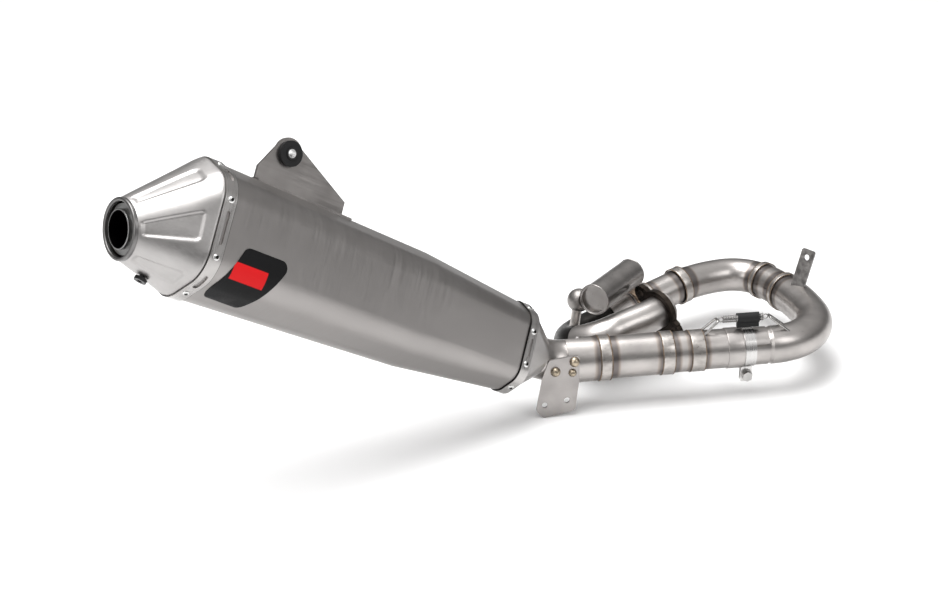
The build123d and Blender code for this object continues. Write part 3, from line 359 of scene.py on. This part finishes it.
def metal(name, colour, rough, turn=along_link, grain=(0.0015, 0.0015, 0.0015), grain_depth=0.10,
          cloud=(0.03, 0.03, 0.03), cloud_depth=0.16, bump=0.05, heat=(), metallic=1.0):
    """Metal with grain, cloudy patches, uneven polish and, near welds, heat tint."""
    finish = bpy.data.materials.new(name)
    finish.use_nodes = True
    tree = finish.node_tree
    shader = tree.nodes["Principled BSDF"]
    shader.inputs["Metallic"].default_value = metallic
    lines = pattern(tree, turn, grain, 4.0, 0.6)
    patches = pattern(tree, turn, cloud, 2.0, 0.5)
    dark = tuple(c * (1 - cloud_depth) for c in colour)
    light = tuple(min(1.0, c * (1 + cloud_depth * 0.7)) for c in colour)
    body = ramp(tree, patches, ((0.32, dark), (0.68, light)))
    grey = ramp(tree, lines, ((0.30, (1 - grain_depth,) * 3), (0.70, (1.0, 1.0, 1.0))))
    body = blend_colour(tree, 1.0, body, grey, "MULTIPLY")
    polish = spread_of(tree, lines, 0.3, 0.7, rough - 0.06, rough + 0.08)
    if heat:
        halo = heat_near(tree, heat, heat_reach)     # even rings, made uneven by the patches
        uneven = wire(tree, "ShaderNodeMath", operation="MULTIPLY_ADD")
        tree.links.new(patches, uneven.inputs[0])
        uneven.inputs[1].default_value = 0.5
        uneven.inputs[2].default_value = -0.25
        shifted = wire(tree, "ShaderNodeMath", operation="ADD", use_clamp=True)
        tree.links.new(halo, shifted.inputs[0])
        tree.links.new(uneven.outputs[0], shifted.inputs[1])
        held = wire(tree, "ShaderNodeMath", operation="MULTIPLY", use_clamp=True)
        tree.links.new(shifted.outputs[0], held.inputs[0])
        tree.links.new(spread_of(tree, halo, 0.0, 0.25, 0.0, 1.0), held.inputs[1])
        tone = ramp(tree, held.outputs[0], ((0.0, straw), (0.45, brown), (0.95, scorch)))
        share = spread_of(tree, held.outputs[0], 0.05, 0.8, 0.0, heat_strength)
        body = blend_colour(tree, share, body, tone)
    tree.links.new(body, shader.inputs["Base Color"])
    tree.links.new(polish, shader.inputs["Roughness"])
    relief = tree.nodes.new("ShaderNodeBump")
    relief.inputs["Strength"].default_value = bump
    relief.inputs["Distance"].default_value = relief_depth
    tree.links.new(lines, relief.inputs["Height"])
    tree.links.new(relief.outputs[0], shader.inputs["Normal"])
    return finish


brush_round = (0.0006, 0.05, 0.05)
ring_heat = [(centre, radius + 0.6 * mm) for centre, _, radius, _ in weld_seats.values()]
finishes = {
    "sleeve_metal": metal("sleeve_satin", (0.315, 0.300, 0.292), 0.40, along_silencer,
                          (0.0010, 0.050, 0.050), 0.04, (0.12, 0.05, 0.05), 0.06, 0.015),
    "cap_metal": metal("cap_brushed", (0.42, 0.407, 0.400), 0.40, along_silencer,
                       (0.050, 0.0012, 0.0012), 0.07, (0.05, 0.02, 0.02), 0.08, 0.012),
    "lip_metal": metal("lip_steel", (0.20, 0.195, 0.192), 0.34, along_silencer, brush_round, 0.08),
    "band_metal": metal("band_steel", (0.46, 0.445, 0.435), 0.30, along_silencer, brush_round, 0.08),
    "rivet_metal": metal("rivet_steel", (0.70, 0.70, 0.69), 0.26),
    "bracket_metal": metal("bracket_plate", (0.33, 0.312, 0.302), 0.36, along_silencer,
                           (0.040, 0.0012, 0.0012), 0.07, bump=0.02),
    "pipe_metal": metal("pipe_steel", (0.41, 0.388, 0.374), 0.33, along_link,
                        (0.0012, 0.0012, 0.0012), 0.03, (0.030, 0.018, 0.018), 0.14, 0.008,
                        ring_heat + blob_seats),
    "weld_metal": metal("ring_steel", (0.43, 0.405, 0.385), 0.32, along_link,
                        (0.0020, 0.0020, 0.0020), 0.10, (0.012, 0.006, 0.006), 0.22, 0.03),
    # Near black: painted shade for the elbow's far branch, which sits in deep shade behind the canister
    # and the port pipe.
    "dark_pipe": metal("shade_black_pipe", (0.034, 0.032, 0.030), 0.36, along_link,
                       (0.002, 0.010, 0.010), 0.20, (0.02, 0.02, 0.02), 0.40, 0.02),
    "canister_metal": metal("canister_steel", (0.36, 0.342, 0.330), 0.33, along_link,
                            (0.002, 0.002, 0.002), 0.06, (0.02, 0.02, 0.02), 0.15, 0.015),
    "flange_metal": metal("flange_black", (0.045, 0.036, 0.030), 0.50, along_link,
                          (0.0012, 0.0012, 0.0012), 0.40, (0.01, 0.01, 0.01), 0.5, 0.25),
    "clamp_metal": metal("clamp_steel", (0.62, 0.61, 0.60), 0.26, along_link, brush_round, 0.08),
    "bolt_steel": metal("bolt_steel", (0.50, 0.49, 0.48), 0.30),
    "black_bolt": metal("black_screw", (0.020, 0.020, 0.021), 0.38, metallic=0.6),
    "hook_wire": metal("hook_wire", (0.42, 0.41, 0.40), 0.24),
    "spring_wire": metal("spring_wire", (0.38, 0.372, 0.365), 0.24),
    "insert_steel": metal("insert_steel", (0.30, 0.30, 0.295), 0.32, along_silencer, brush_round),
    "bush_metal": metal("bush_steel", (0.30, 0.28, 0.26), 0.35),
    "core_steel": metal("core_steel", (0.05, 0.048, 0.046), 0.50),
    "grommet_rubber": metal("grommet_rubber", (0.010, 0.010, 0.0105), 0.55, grain=(0.0006,) * 3,
                            bump=0.2, metallic=0.0),
    "sleeve_rubber": metal("spring_rubber", (0.010, 0.010, 0.0105), 0.55, grain=(0.0008,) * 3,
                           bump=0.2, metallic=0.0),
    "packing_wool": metal("packing_wool", (0.62, 0.58, 0.46), 0.90, grain=(0.004, 0.0006, 0.0006),
                          grain_depth=0.4, bump=0.6, metallic=0.0),
}
for soft in ("grommet_rubber", "sleeve_rubber"):
    rubber = finishes[soft].node_tree.nodes["Principled BSDF"]
    rubber.inputs["Specular IOR Level"].default_value = 0.25
bead_brown = metal("bead_brown", (0.20, 0.150, 0.110), 0.32, along_link, (0.001, 0.001, 0.001),
                   0.25, (0.006, 0.006, 0.006), 0.45, 0.04)
blob_straw = metal("blob_straw", (0.42, 0.355, 0.27), 0.34, along_link, (0.0012, 0.0012, 0.0012),
                   0.30, (0.004, 0.004, 0.004), 0.45, 0.20)
nose_mount = next(m for m in record["mounts"] if m["name"] == "outlet_bore")


def lined(finish, point, axis, radius, colour):
    """Another colour on everything nearer the axis than radius."""
    tree = finish.node_tree
    shader = tree.nodes["Principled BSDF"]
    clean = shader.inputs["Base Color"].links[0].from_socket
    place = tree.nodes.new("ShaderNodeTexCoord")
    arm = wire(tree, "ShaderNodeVectorMath", operation="SUBTRACT")
    arm.inputs[1].default_value = point
    tree.links.new(place.outputs["Object"], arm.inputs[0])
    across = wire(tree, "ShaderNodeVectorMath", operation="CROSS_PRODUCT")
    across.inputs[1].default_value = axis
    tree.links.new(arm.outputs[0], across.inputs[0])
    far = wire(tree, "ShaderNodeVectorMath", operation="LENGTH")
    tree.links.new(across.outputs[0], far.inputs[0])
    share = spread_of(tree, far.outputs["Value"], radius, radius + 0.3 * mm, 1.0, 0.0)
    tree.links.new(blend_colour(tree, share, clean, colour), shader.inputs["Base Color"])


hanger_mount = next(m for m in record["mounts"] if m["name"] == "hanger_bolt")
# The outlet bore is painted near black: real soot, deepened as painted shade inside the bore.
lined(finishes["insert_steel"], nose_mount["pos_m"], nose_mount["axis"], 18.2 * mm, soot_and_bore_shade)
# The hanger bush is painted dark, painted shade round its hole, and its bore near white, painted light
# of the backdrop seen through the hole.
bush_dark = metal("bush_dark", (0.06, 0.06, 0.06), 0.34)
lined(bush_dark, hanger_mount["pos_m"], hanger_mount["axis"], 4.3 * mm, painted_see_through_light)
tab_steel = metal("tab_steel", (0.20, 0.192, 0.186), 0.36, cloud=(0.006, 0.006, 0.006),
                  cloud_depth=0.45)
# The resonator bulb is darker than the pipes: painted shade for the bulb under the canister.
bulb_shaded_steel = metal("bulb_shaded_steel", (0.27, 0.256, 0.246), 0.40)
# Rivet pins are painted near black: painted shade for the hollow centre of each rivet.
pin_painted_shade = metal("rivet_pin", (0.020, 0.019, 0.018), 0.5)


bar_half_length, bar_half_height, bar_shift, bar_edge = 20 * mm, 8.5 * mm, 4 * mm, 0.4 * mm


def badge_paint():
    """Black plate with one plain red bar set along it."""
    finish = metal("badge_black", (0.006, 0.006, 0.0065), 0.50, along_silencer, bump=0.01, metallic=0.0)
    tree = finish.node_tree
    shader = tree.nodes["Principled BSDF"]
    shader.inputs["Specular IOR Level"].default_value = 0.12
    black = shader.inputs["Base Color"].links[0].from_socket
    place = tree.nodes.new("ShaderNodeTexCoord")
    inside = None
    low_corner, high_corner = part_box("badge")
    centre = (Vector(low_corner) + Vector(high_corner)) / 2
    for direction, half in ((silencer_axis, bar_half_length), (up_dir, bar_half_height)):
        reach = wire(tree, "ShaderNodeVectorMath", operation="DOT_PRODUCT")
        reach.inputs[1].default_value = direction
        tree.links.new(place.outputs["Object"], reach.inputs[0])
        off = wire(tree, "ShaderNodeMath", operation="SUBTRACT")
        tree.links.new(reach.outputs["Value"], off.inputs[0])
        off.inputs[1].default_value = centre.dot(direction) + bar_shift
        size = wire(tree, "ShaderNodeMath", operation="ABSOLUTE")
        tree.links.new(off.outputs[0], size.inputs[0])
        part = spread_of(tree, size.outputs[0], half - bar_edge, half + bar_edge, 1.0, 0.0)
        if inside is None:
            inside = part
            continue
        both = wire(tree, "ShaderNodeMath", operation="MULTIPLY")
        tree.links.new(inside, both.inputs[0])
        tree.links.new(part, both.inputs[1])
        inside = both.outputs[0]
    tree.links.new(blend_colour(tree, inside, black, bar_red), shader.inputs["Base Color"])
    return finish


finishes["badge_plate"] = badge_paint()
slot_of = {part["node"]: part["material_slot"] for part in record["subparts"]}


def shade(mesh, angle):
    """Smooth shading that stays sharp over the given edge angle."""
    mesh.polygons.foreach_set("use_smooth", [True] * len(mesh.polygons))
    mesh.set_sharp_from_angle(angle=radians(angle))


def fresh_copy(node):
    """Merged copy of a CAD node's mesh as an editable bmesh."""
    work = bmesh.new()
    work.from_mesh(nodes[node].data)
    bmesh.ops.remove_doubles(work, verts=work.verts, dist=same_point)
    return work


def add_piece(name, mesh, node, finish):
    """New piece that stands for a CAD node and rides its body."""
    piece = bpy.data.objects.new(name, mesh)
    bpy.context.scene.collection.objects.link(piece)
    mesh.materials.clear()
    mesh.materials.append(finish)
    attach(piece, nodes[node]["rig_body"])
    return piece


def gap_lines(finish, stations, half):
    """Painted shade: dark lines square to the silencer at the listed stations, half wide each way, for
    the shade in the seams.
    """
    tree = finish.node_tree
    shader = tree.nodes["Principled BSDF"]
    place = tree.nodes.new("ShaderNodeTexCoord")
    reach = wire(tree, "ShaderNodeVectorMath", operation="DOT_PRODUCT")
    reach.inputs[1].default_value = silencer_axis
    tree.links.new(place.outputs["Object"], reach.inputs[0])
    for station in stations:
        clean = shader.inputs["Base Color"].links[0].from_socket
        off = wire(tree, "ShaderNodeMath", operation="SUBTRACT")
        tree.links.new(reach.outputs["Value"], off.inputs[0])
        off.inputs[1].default_value = silencer_root.dot(silencer_axis) + station * mm
        size = wire(tree, "ShaderNodeMath", operation="ABSOLUTE")
        tree.links.new(off.outputs[0], size.inputs[0])
        share = spread_of(tree, size.outputs[0], half * 0.6, half * 1.4, 0.92, 0.0)
        tree.links.new(blend_colour(tree, share, clean, seam_shade), shader.inputs["Base Color"])


cap_gap, rear_gap, front_gap = 473.5, 459.0, 61.0           # stations along the silencer
# Painted shade along the seams of the cap, the bands and the sleeve.
gap_lines(finishes["cap_metal"], (cap_gap,), 0.55 * mm)
gap_lines(finishes["band_metal"], (rear_gap, front_gap), 0.35 * mm)
gap_lines(finishes["sleeve_metal"], (rear_gap - 0.3, front_gap + 0.5), 0.45 * mm)
own_finish = {"weld_blobs": blob_straw, "hanger_bush": bush_dark, "loop_bead": bead_brown,
              "frame_tab": tab_steel, "resonator_bulb": bulb_shaded_steel}


def paint_frame():
    """Every CAD node takes its slot's finish, welded and shaded smooth by angle."""
    for node, obj in nodes.items():
        obj.data.materials.clear()
        obj.data.materials.append(own_finish.get(node, finishes[slot_of[node]]))
        obj.data.polygons.foreach_set("use_smooth", [True] * len(obj.data.polygons))
        weld = obj.modifiers.new("weld", "WELD")
        weld.merge_threshold = same_point
        split = obj.modifiers.new("edges", "EDGE_SPLIT")
        split.split_angle = radians(sharp_turn)
        split.use_edge_sharp = False


paint_frame()


# ---------------------------------------------------------------- geometry recipes
class Recipe:
    """A geometry node tree with named inputs for its sizes."""

    def __init__(self, name, sizes):
        self.tree = bpy.data.node_groups.new(name, "GeometryNodeTree")
        face = self.tree.interface
        face.new_socket("Geometry", in_out="INPUT", socket_type="NodeSocketGeometry")
        for label, value in sizes.items():
            kind = "NodeSocketInt" if isinstance(value, int) else "NodeSocketFloat"
            face.new_socket(label, in_out="INPUT", socket_type=kind).default_value = value
        face.new_socket("Geometry", in_out="OUTPUT", socket_type="NodeSocketGeometry")
        self.given = self.tree.nodes.new("NodeGroupInput").outputs
        self.result = self.tree.nodes.new("NodeGroupOutput")

    def step(self, kind, wires=None, **settings):
        """New node with its inputs linked or set; gives its outputs."""
        node = self.tree.nodes.new(kind)
        for key, value in settings.items():
            setattr(node, key, value)
        for key, value in (wires or {}).items():
            socket = node.inputs[key]
            if hasattr(value, "is_linked"):
                self.tree.links.new(value, socket)
            else:
                socket.default_value = value
        return node.outputs

    def join(self, *parts):
        """One geometry from several."""
        node = self.tree.nodes.new("GeometryNodeJoinGeometry")
        for part in parts:
            self.tree.links.new(part, node.inputs[0])
        return node.outputs[0]

    def scale_of(self, x, y, z):
        """Vector from three lengths, each a number or a socket."""
        return self.step("ShaderNodeCombineXYZ", {"X": x, "Y": y, "Z": z})[0]

    def finish(self, shape, finish, second=None, flag=None):
        """Realize, shade and hand out the shape; flagged faces take the second finish."""
        solid = self.step("GeometryNodeRealizeInstances", {"Geometry": shape})[0]
        smooth = self.step("GeometryNodeSetShadeSmooth", {"Geometry": solid})[0]
        dressed = self.step("GeometryNodeSetMaterial", {"Geometry": smooth, "Material": finish})[0]
        if second:
            marked = self.step("GeometryNodeInputNamedAttribute", {"Name": flag},
                               data_type="BOOLEAN")[0]
            dressed = self.step("GeometryNodeSetMaterial", {
                "Geometry": dressed, "Selection": marked, "Material": second})[0]
        self.tree.links.new(dressed, self.result.inputs[0])


def grow(name, recipe, seed_mesh, sizes):
    """Plain mesh object grown by a recipe from a seed mesh."""
    obj = bpy.data.objects.new(name, seed_mesh)
    bpy.context.scene.collection.objects.link(obj)
    modifier = obj.modifiers.new("grow", "NODES")
    modifier.node_group = recipe.tree
    for item in recipe.tree.interface.items_tree:
        if item.item_type == "SOCKET" and item.in_out == "INPUT" and item.name in sizes:
            modifier[item.identifier] = sizes[item.name]
    bpy.context.view_layer.update()
    graph = bpy.context.evaluated_depsgraph_get()
    mesh = bpy.data.meshes.new_from_object(obj.evaluated_get(graph), depsgraph=graph)
    obj.modifiers.remove(modifier)
    obj.data = mesh
    mesh.name = name
    return obj


# ---------------------------------------------------------------- blind rivets on both bands
pin_lip, pin_depth, pin_rise = 0.20 * mm, 1.2 * mm, 0.92 * mm


def rivet_recipe():
    """Flattened dome with a rolled lip round a broken pin, one on every seat."""
    recipe = Recipe("blind_rivets", {"Head radius": 3.4 * mm, "Head height": 1.3 * mm,
                                     "Pin radius": 1.75 * mm})
    head_r, head_h, pin_r = (recipe.given[key] for key in ("Head radius", "Head height", "Pin radius"))
    dome = recipe.step("GeometryNodeMeshUVSphere", {"Segments": 28, "Rings": 14, "Radius": 1.0})[0]
    dome = recipe.step("GeometryNodeTransform", {
        "Geometry": dome, "Scale": recipe.scale_of(head_r, head_r, head_h)})[0]
    rim_path = recipe.step("GeometryNodeCurvePrimitiveCircle", {"Resolution": 24, "Radius": pin_r})[0]
    rim_wire = recipe.step("GeometryNodeCurvePrimitiveCircle", {
        "Resolution": 8, "Radius": pin_lip})[0]
    rim = recipe.step("GeometryNodeCurveToMesh", {"Curve": rim_path, "Profile Curve": rim_wire})[0]
    rim = recipe.step("GeometryNodeTransform", {
        "Geometry": rim, "Translation": recipe.scale_of(0.0, 0.0, head_h)})[0]
    pin = recipe.step("GeometryNodeMeshCylinder", {"Vertices": 20, "Radius": pin_r,
                                                   "Depth": pin_depth})[0]
    pin = recipe.step("GeometryNodeTransform", {
        "Geometry": pin, "Translation": recipe.scale_of(0.0, 0.0, pin_rise)})[0]
    pin = recipe.step("GeometryNodeStoreNamedAttribute", {
        "Geometry": pin, "Name": "pin", "Value": True}, data_type="BOOLEAN", domain="FACE")[0]
    one = recipe.join(dome, rim, pin)
    outward = recipe.step("GeometryNodeInputNamedAttribute", {"Name": "outward"},
                          data_type="FLOAT_VECTOR")[0]
    turn = recipe.step("FunctionNodeAlignRotationToVector", {"Vector": outward}, axis="Z")[0]
    many = recipe.step("GeometryNodeInstanceOnPoints", {
        "Points": recipe.given["Geometry"], "Instance": one, "Rotation": turn})[0]
    recipe.finish(many, finishes["rivet_metal"], pin_painted_shade, "pin")
    return recipe


def set_rivets():
    """Domed heads with a broken pin painted near black as painted shade for the rivet's hollow centre,
    seated where the CAD rivets sit.
    """
    recipe = rivet_recipe()
    for node in ("rear_rivets", "front_rivets"):
        seats, outward = [], []
        for cloud in loose_solids(node):
            centre = cloud.mean(axis=0)
            axis = Vector(np.linalg.eigh(np.cov((cloud - centre).T))[1][:, 0])
            from_axis = Vector(centre) - on_silencer_axis(Vector(centre))
            axis = axis if axis.dot(from_axis) > 0 else -axis
            low = min((Vector(p) - Vector(centre)).dot(axis) for p in cloud)
            seats.append(Vector(centre) + axis * low)
            outward.append(axis)
        seed = bpy.data.meshes.new(node + "_seats")
        seed.from_pydata(seats, [], [])
        mark = seed.attributes.new("outward", "FLOAT_VECTOR", "POINT")
        for place, axis in zip(mark.data, outward):
            place.vector = axis
        heads = grow(node + "_heads", recipe, seed, {})
        shade(heads.data, 40.0)
        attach(heads, "silencer")
        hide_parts(node)


set_rivets()


# ---------------------------------------------------------------- weld ripples round the joints
bead_width, bead_height, ripple_pitch = 1.5 * mm, 1.2 * mm, 1.05 * mm
bead_sink, narrow_ring = 0.45 * mm, 1.6 * mm


def ripple_recipe():
    """Ring of small overlapping drops, flat to the pipe."""
    recipe = Recipe("weld_ripples", {"Ring radius": 20 * mm, "Bead width": 2.4 * mm,
                                     "Bead height": 1.2 * mm, "Ripples": 90})
    ring_r, width, height = (recipe.given[k] for k in ("Ring radius", "Bead width", "Bead height"))
    ring = recipe.step("GeometryNodeCurvePrimitiveCircle", {"Resolution": 180, "Radius": ring_r})[0]
    stops = recipe.step("GeometryNodeCurveToPoints", {"Curve": ring, "Count": recipe.given["Ripples"]},
                        mode="COUNT")
    drop = recipe.step("GeometryNodeMeshUVSphere", {"Segments": 10, "Rings": 6, "Radius": 0.5})[0]
    out_of_ring = recipe.step("GeometryNodeInputPosition")[0]
    turn = recipe.step("FunctionNodeAlignRotationToVector", {"Vector": out_of_ring}, axis="X")[0]
    pitch = recipe.scale_of(height, width, width)
    many = recipe.step("GeometryNodeInstanceOnPoints", {
        "Points": stops[0], "Instance": drop, "Rotation": turn, "Scale": pitch})[0]
    recipe.finish(many, bead_brown)
    return recipe


def lay_welds():
    """Ripples laid in rings along each weld, riding the body that the joint belongs to."""
    recipe = ripple_recipe()
    for node, (centre, axis, radius, half) in weld_seats.items():
        edges = (0.0,) if half < narrow_ring else (-half, half)
        for edge in edges:
            seed = bpy.data.meshes.new(node + "_seed")
            bead = grow(node + "_ripples", recipe, seed, {
                "Ring radius": radius - bead_sink,
                "Bead width": bead_width, "Bead height": bead_height,
                "Ripples": int(ceil(2 * pi * radius / ripple_pitch))})
            turn = axis.to_track_quat("Z", "Y").to_matrix().to_4x4()
            bead.data.transform(Matrix.Translation(centre + axis * edge) @ turn)
            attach(bead, nodes[node]["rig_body"])


lay_welds()


# ---------------------------------------------------------------- rolled rims of the canister
rim_inset, rim_wire, rim_sink = 0.7 * mm, 0.85 * mm, 0.2 * mm


def roll_rims():
    """A rolled bead round the edge of each canister cap."""
    recipe = Recipe("rolled_rim", {"Rim radius": 16 * mm, "Wire radius": 0.8 * mm})
    rim_r, wire_r = recipe.given["Rim radius"], recipe.given["Wire radius"]
    path = recipe.step("GeometryNodeCurvePrimitiveCircle", {"Resolution": 96, "Radius": rim_r})[0]
    section = recipe.step("GeometryNodeCurvePrimitiveCircle", {"Resolution": 12, "Radius": wire_r})[0]
    rim = recipe.step("GeometryNodeCurveToMesh", {"Curve": path, "Profile Curve": section})[0]
    recipe.finish(rim, finishes["canister_metal"])
    body_centre = ring_seat("resonator_body")[0]
    for node in ("resonator_disc_cap", "resonator_far_cap"):
        centre, axis, radius, half = ring_seat(node)
        outward = axis if axis.dot(centre - body_centre) > 0 else -axis
        rim = grow(node + "_rim", recipe, bpy.data.meshes.new(node + "_seed"),
                   {"Rim radius": radius - rim_inset, "Wire radius": rim_wire})
        turn = outward.to_track_quat("Z", "Y").to_matrix().to_4x4()
        rim.data.transform(Matrix.Translation(centre + outward * (half - rim_sink)) @ turn)
        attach(rim, "port_piece")


roll_rims()


# ---------------------------------------------------------------- slip joint spring
eye_gap = 2.2 * mm                      # from the last coil to the centre of its eye
both_ends, first_coil = 9.5 * mm, 4.6 * mm


def wind_spring():
    """Close coils with an eye at each end, sized to the CAD spring it stands in for."""
    recipe = Recipe("spring_coils", {"Coil radius": 3.3 * mm, "Wire radius": 0.7 * mm,
                                     "Length": 44 * mm, "Turns": 24.0, "Eye radius": 2.6 * mm})
    coil_r, wire_r, length, eye_r = (recipe.given[k] for k in (
        "Coil radius", "Wire radius", "Length", "Eye radius"))
    coils = recipe.step("GeometryNodeCurveSpiral", {
        "Resolution": 20, "Rotations": recipe.given["Turns"], "Start Radius": coil_r,
        "End Radius": coil_r, "Height": length})[0]
    hoop = recipe.step("GeometryNodeCurvePrimitiveCircle", {"Resolution": 28, "Radius": eye_r})[0]
    upright = (pi / 2, 0.0, 0.0)
    low_eye = recipe.step("GeometryNodeTransform", {
        "Geometry": hoop, "Rotation": upright, "Translation": (0, 0, -eye_gap)})[0]
    high_at = recipe.step("ShaderNodeMath", {0: length, 1: eye_gap}, operation="ADD")[0]
    high_eye = recipe.step("GeometryNodeTransform", {
        "Geometry": hoop, "Rotation": upright,
        "Translation": recipe.scale_of(0.0, 0.0, high_at)})[0]
    paths = recipe.join(coils, low_eye, high_eye)
    section = recipe.step("GeometryNodeCurvePrimitiveCircle", {"Resolution": 8, "Radius": wire_r})[0]
    coil = recipe.step("GeometryNodeCurveToMesh", {
        "Curve": paths, "Profile Curve": section, "Fill Caps": True})[0]
    recipe.finish(coil, finishes["spring_wire"])
    low, high = (Vector(corner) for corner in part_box("spring"))
    coiled = high.x - low.x - both_ends
    centre_y, centre_z = (low.y + high.y) / 2, (low.z + high.z) / 2
    spring = grow("spring_coils", recipe, bpy.data.meshes.new("spring_seed"), {"Length": coiled})
    start = Matrix.Translation((low.x + first_coil, centre_y, centre_z))
    lie_down = start @ Matrix.Rotation(pi / 2, 4, "Y")
    spring.data.transform(lie_down)
    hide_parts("spring")
    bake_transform(spring)


wind_spring()


# ---------------------------------------------------------------- pressed flutes of the end cap
cap_back, cap_seam, cap_nose = 466.2, 475.4, 538.6      # stations along the silencer
nose_drop, nose_tilt = 24.0, radians(17.0)
flutes = ((0.0, 15.0), (60.0, 12.0), (120.0, 12.0), (180.0, 15.0), (-120.0, 12.0), (-60.0, 12.0))
flute_root, flute_tip = 1.12, 0.42      # share of a flute's half width at the seam and the nose
flute_start, flute_length, flute_span = 0.15, 66.0, 0.7
flute_corner, flute_wall, flute_press = 5.0, 3.4, 1.9
cap_wall = 1.2


def cap_frame(share):
    """Origin and upward direction of the cap's section, share 0 at the seam and 1 at the nose."""
    place = silencer_root + (silencer_axis * (cap_seam + (cap_nose - cap_seam) * share)
                             - up_dir * nose_drop * share) * mm
    nose_up = up_dir * cos(nose_tilt) + silencer_axis * sin(nose_tilt)
    return place, up_dir.lerp(nose_up, share).normalized()


def ease(value):
    """0 to 1 with a soft start and end."""
    value = min(1.0, max(0.0, value))
    return value * value * (3 - 2 * value)


def flute_depth(share, around, reach):
    """How far the cap is pressed in, 0 to 1, by tapered flutes with square rounded ends."""
    most = 0.0
    for centre, half in flutes:
        turn = atan2(sin(around - radians(centre)), cos(around - radians(centre)))
        if abs(turn) > flute_span:
            continue
        half_here = half * (flute_root + (flute_tip - flute_root) * share)
        side_gap = half_here - abs(reach * sin(turn)) / mm
        end_gap = (share - flute_start) * flute_length
        if side_gap < flute_corner and end_gap < flute_corner:
            gap = flute_corner - hypot(flute_corner - side_gap, flute_corner - end_gap)
        else:
            gap = min(side_gap, end_gap)
        most = max(most, ease(gap / flute_wall + 0.3))
    return most * ease((0.985 - share) / 0.10)


def cap_reaches(levels, steps):
    """Distance from the section's centre to the outer skin, for every level and angle."""
    outside, smoothings = 0.15, 14
    work = fresh_copy("end_cap")
    skin = BVHTree.FromBMesh(work)
    work.free()
    reaches = np.zeros((levels, steps))
    for level in range(levels):
        share = level / (levels - 1)
        place, up = cap_frame(share)
        for step in range(steps):
            around = 2 * pi * step / steps
            way = side_dir * cos(around) + up * sin(around)
            hit = skin.ray_cast(place + way * outside, -way)
            reaches[level, step] = (hit[0] - place).length if hit[0] else np.nan
    for level in range(levels):
        row = reaches[level]
        gaps = np.isnan(row)
        if gaps.all():
            reaches[level] = reaches[level - 1]
        elif gaps.any():
            good = np.flatnonzero(~gaps)
            row[gaps] = np.interp(np.flatnonzero(gaps), good, row[good], period=steps)
    for level in range(1, levels):
        share = level / (levels - 1)
        width = (1.0 + 9.0 * min(1.0, share * 3.0)) * steps / 360.0
        span = np.arange(-steps // 2, steps // 2)
        kernel = np.exp(-0.5 * (span / width) ** 2)
        kernel = np.roll(kernel / kernel.sum(), -(steps // 2))
        reaches[level] = np.real(np.fft.ifft(np.fft.fft(reaches[level]) * np.fft.fft(kernel)))
    for _ in range(smoothings):
        reaches[1:-1] = (reaches[:-2] + 2 * reaches[1:-1] + reaches[2:]) / 4
    return reaches


def press_end_cap():
    """A clean skin over the end cap, rounded, with flutes pressed into its six sides."""
    levels, steps = 84, 288
    reaches = cap_reaches(levels, steps)
    work = bmesh.new()
    rings = []
    for wall in (0.0, cap_wall):
        shell = []
        for level in range(-1, levels):
            share = max(0, level) / (levels - 1)
            place, up = cap_frame(share)
            if level < 0:
                place = silencer_root + silencer_axis * cap_back * mm
            ring = []
            for step in range(steps):
                around = 2 * pi * step / steps
                reach = reaches[max(0, level), step]
                pressed = flute_depth(share, around, reach) * flute_press * mm if level > 0 else 0.0
                way = side_dir * cos(around) + up * sin(around)
                ring.append(work.verts.new(place + way * (reach - pressed - wall * mm)))
            shell.append(ring)
        rings.append(shell)
    outer, inner = rings
    for shell in rings:
        for low, high in zip(shell[:-1], shell[1:]):
            for step in range(steps):
                follow = (step + 1) % steps
                work.faces.new((low[step], low[follow], high[follow], high[step]))
    for low, high in ((outer[0], inner[0]), (outer[-1], inner[-1])):
        for step in range(steps):
            follow = (step + 1) % steps
            work.faces.new((low[step], low[follow], high[follow], high[step]))
    bmesh.ops.recalc_face_normals(work, faces=work.faces)
    mesh = bpy.data.meshes.new("end_cap_pressed")
    work.to_mesh(mesh)
    work.free()
    cap = add_piece("end_cap_pressed", mesh, "end_cap", finishes["cap_metal"])
    shade(mesh, 40.0)
    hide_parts("end_cap")


press_end_cap()
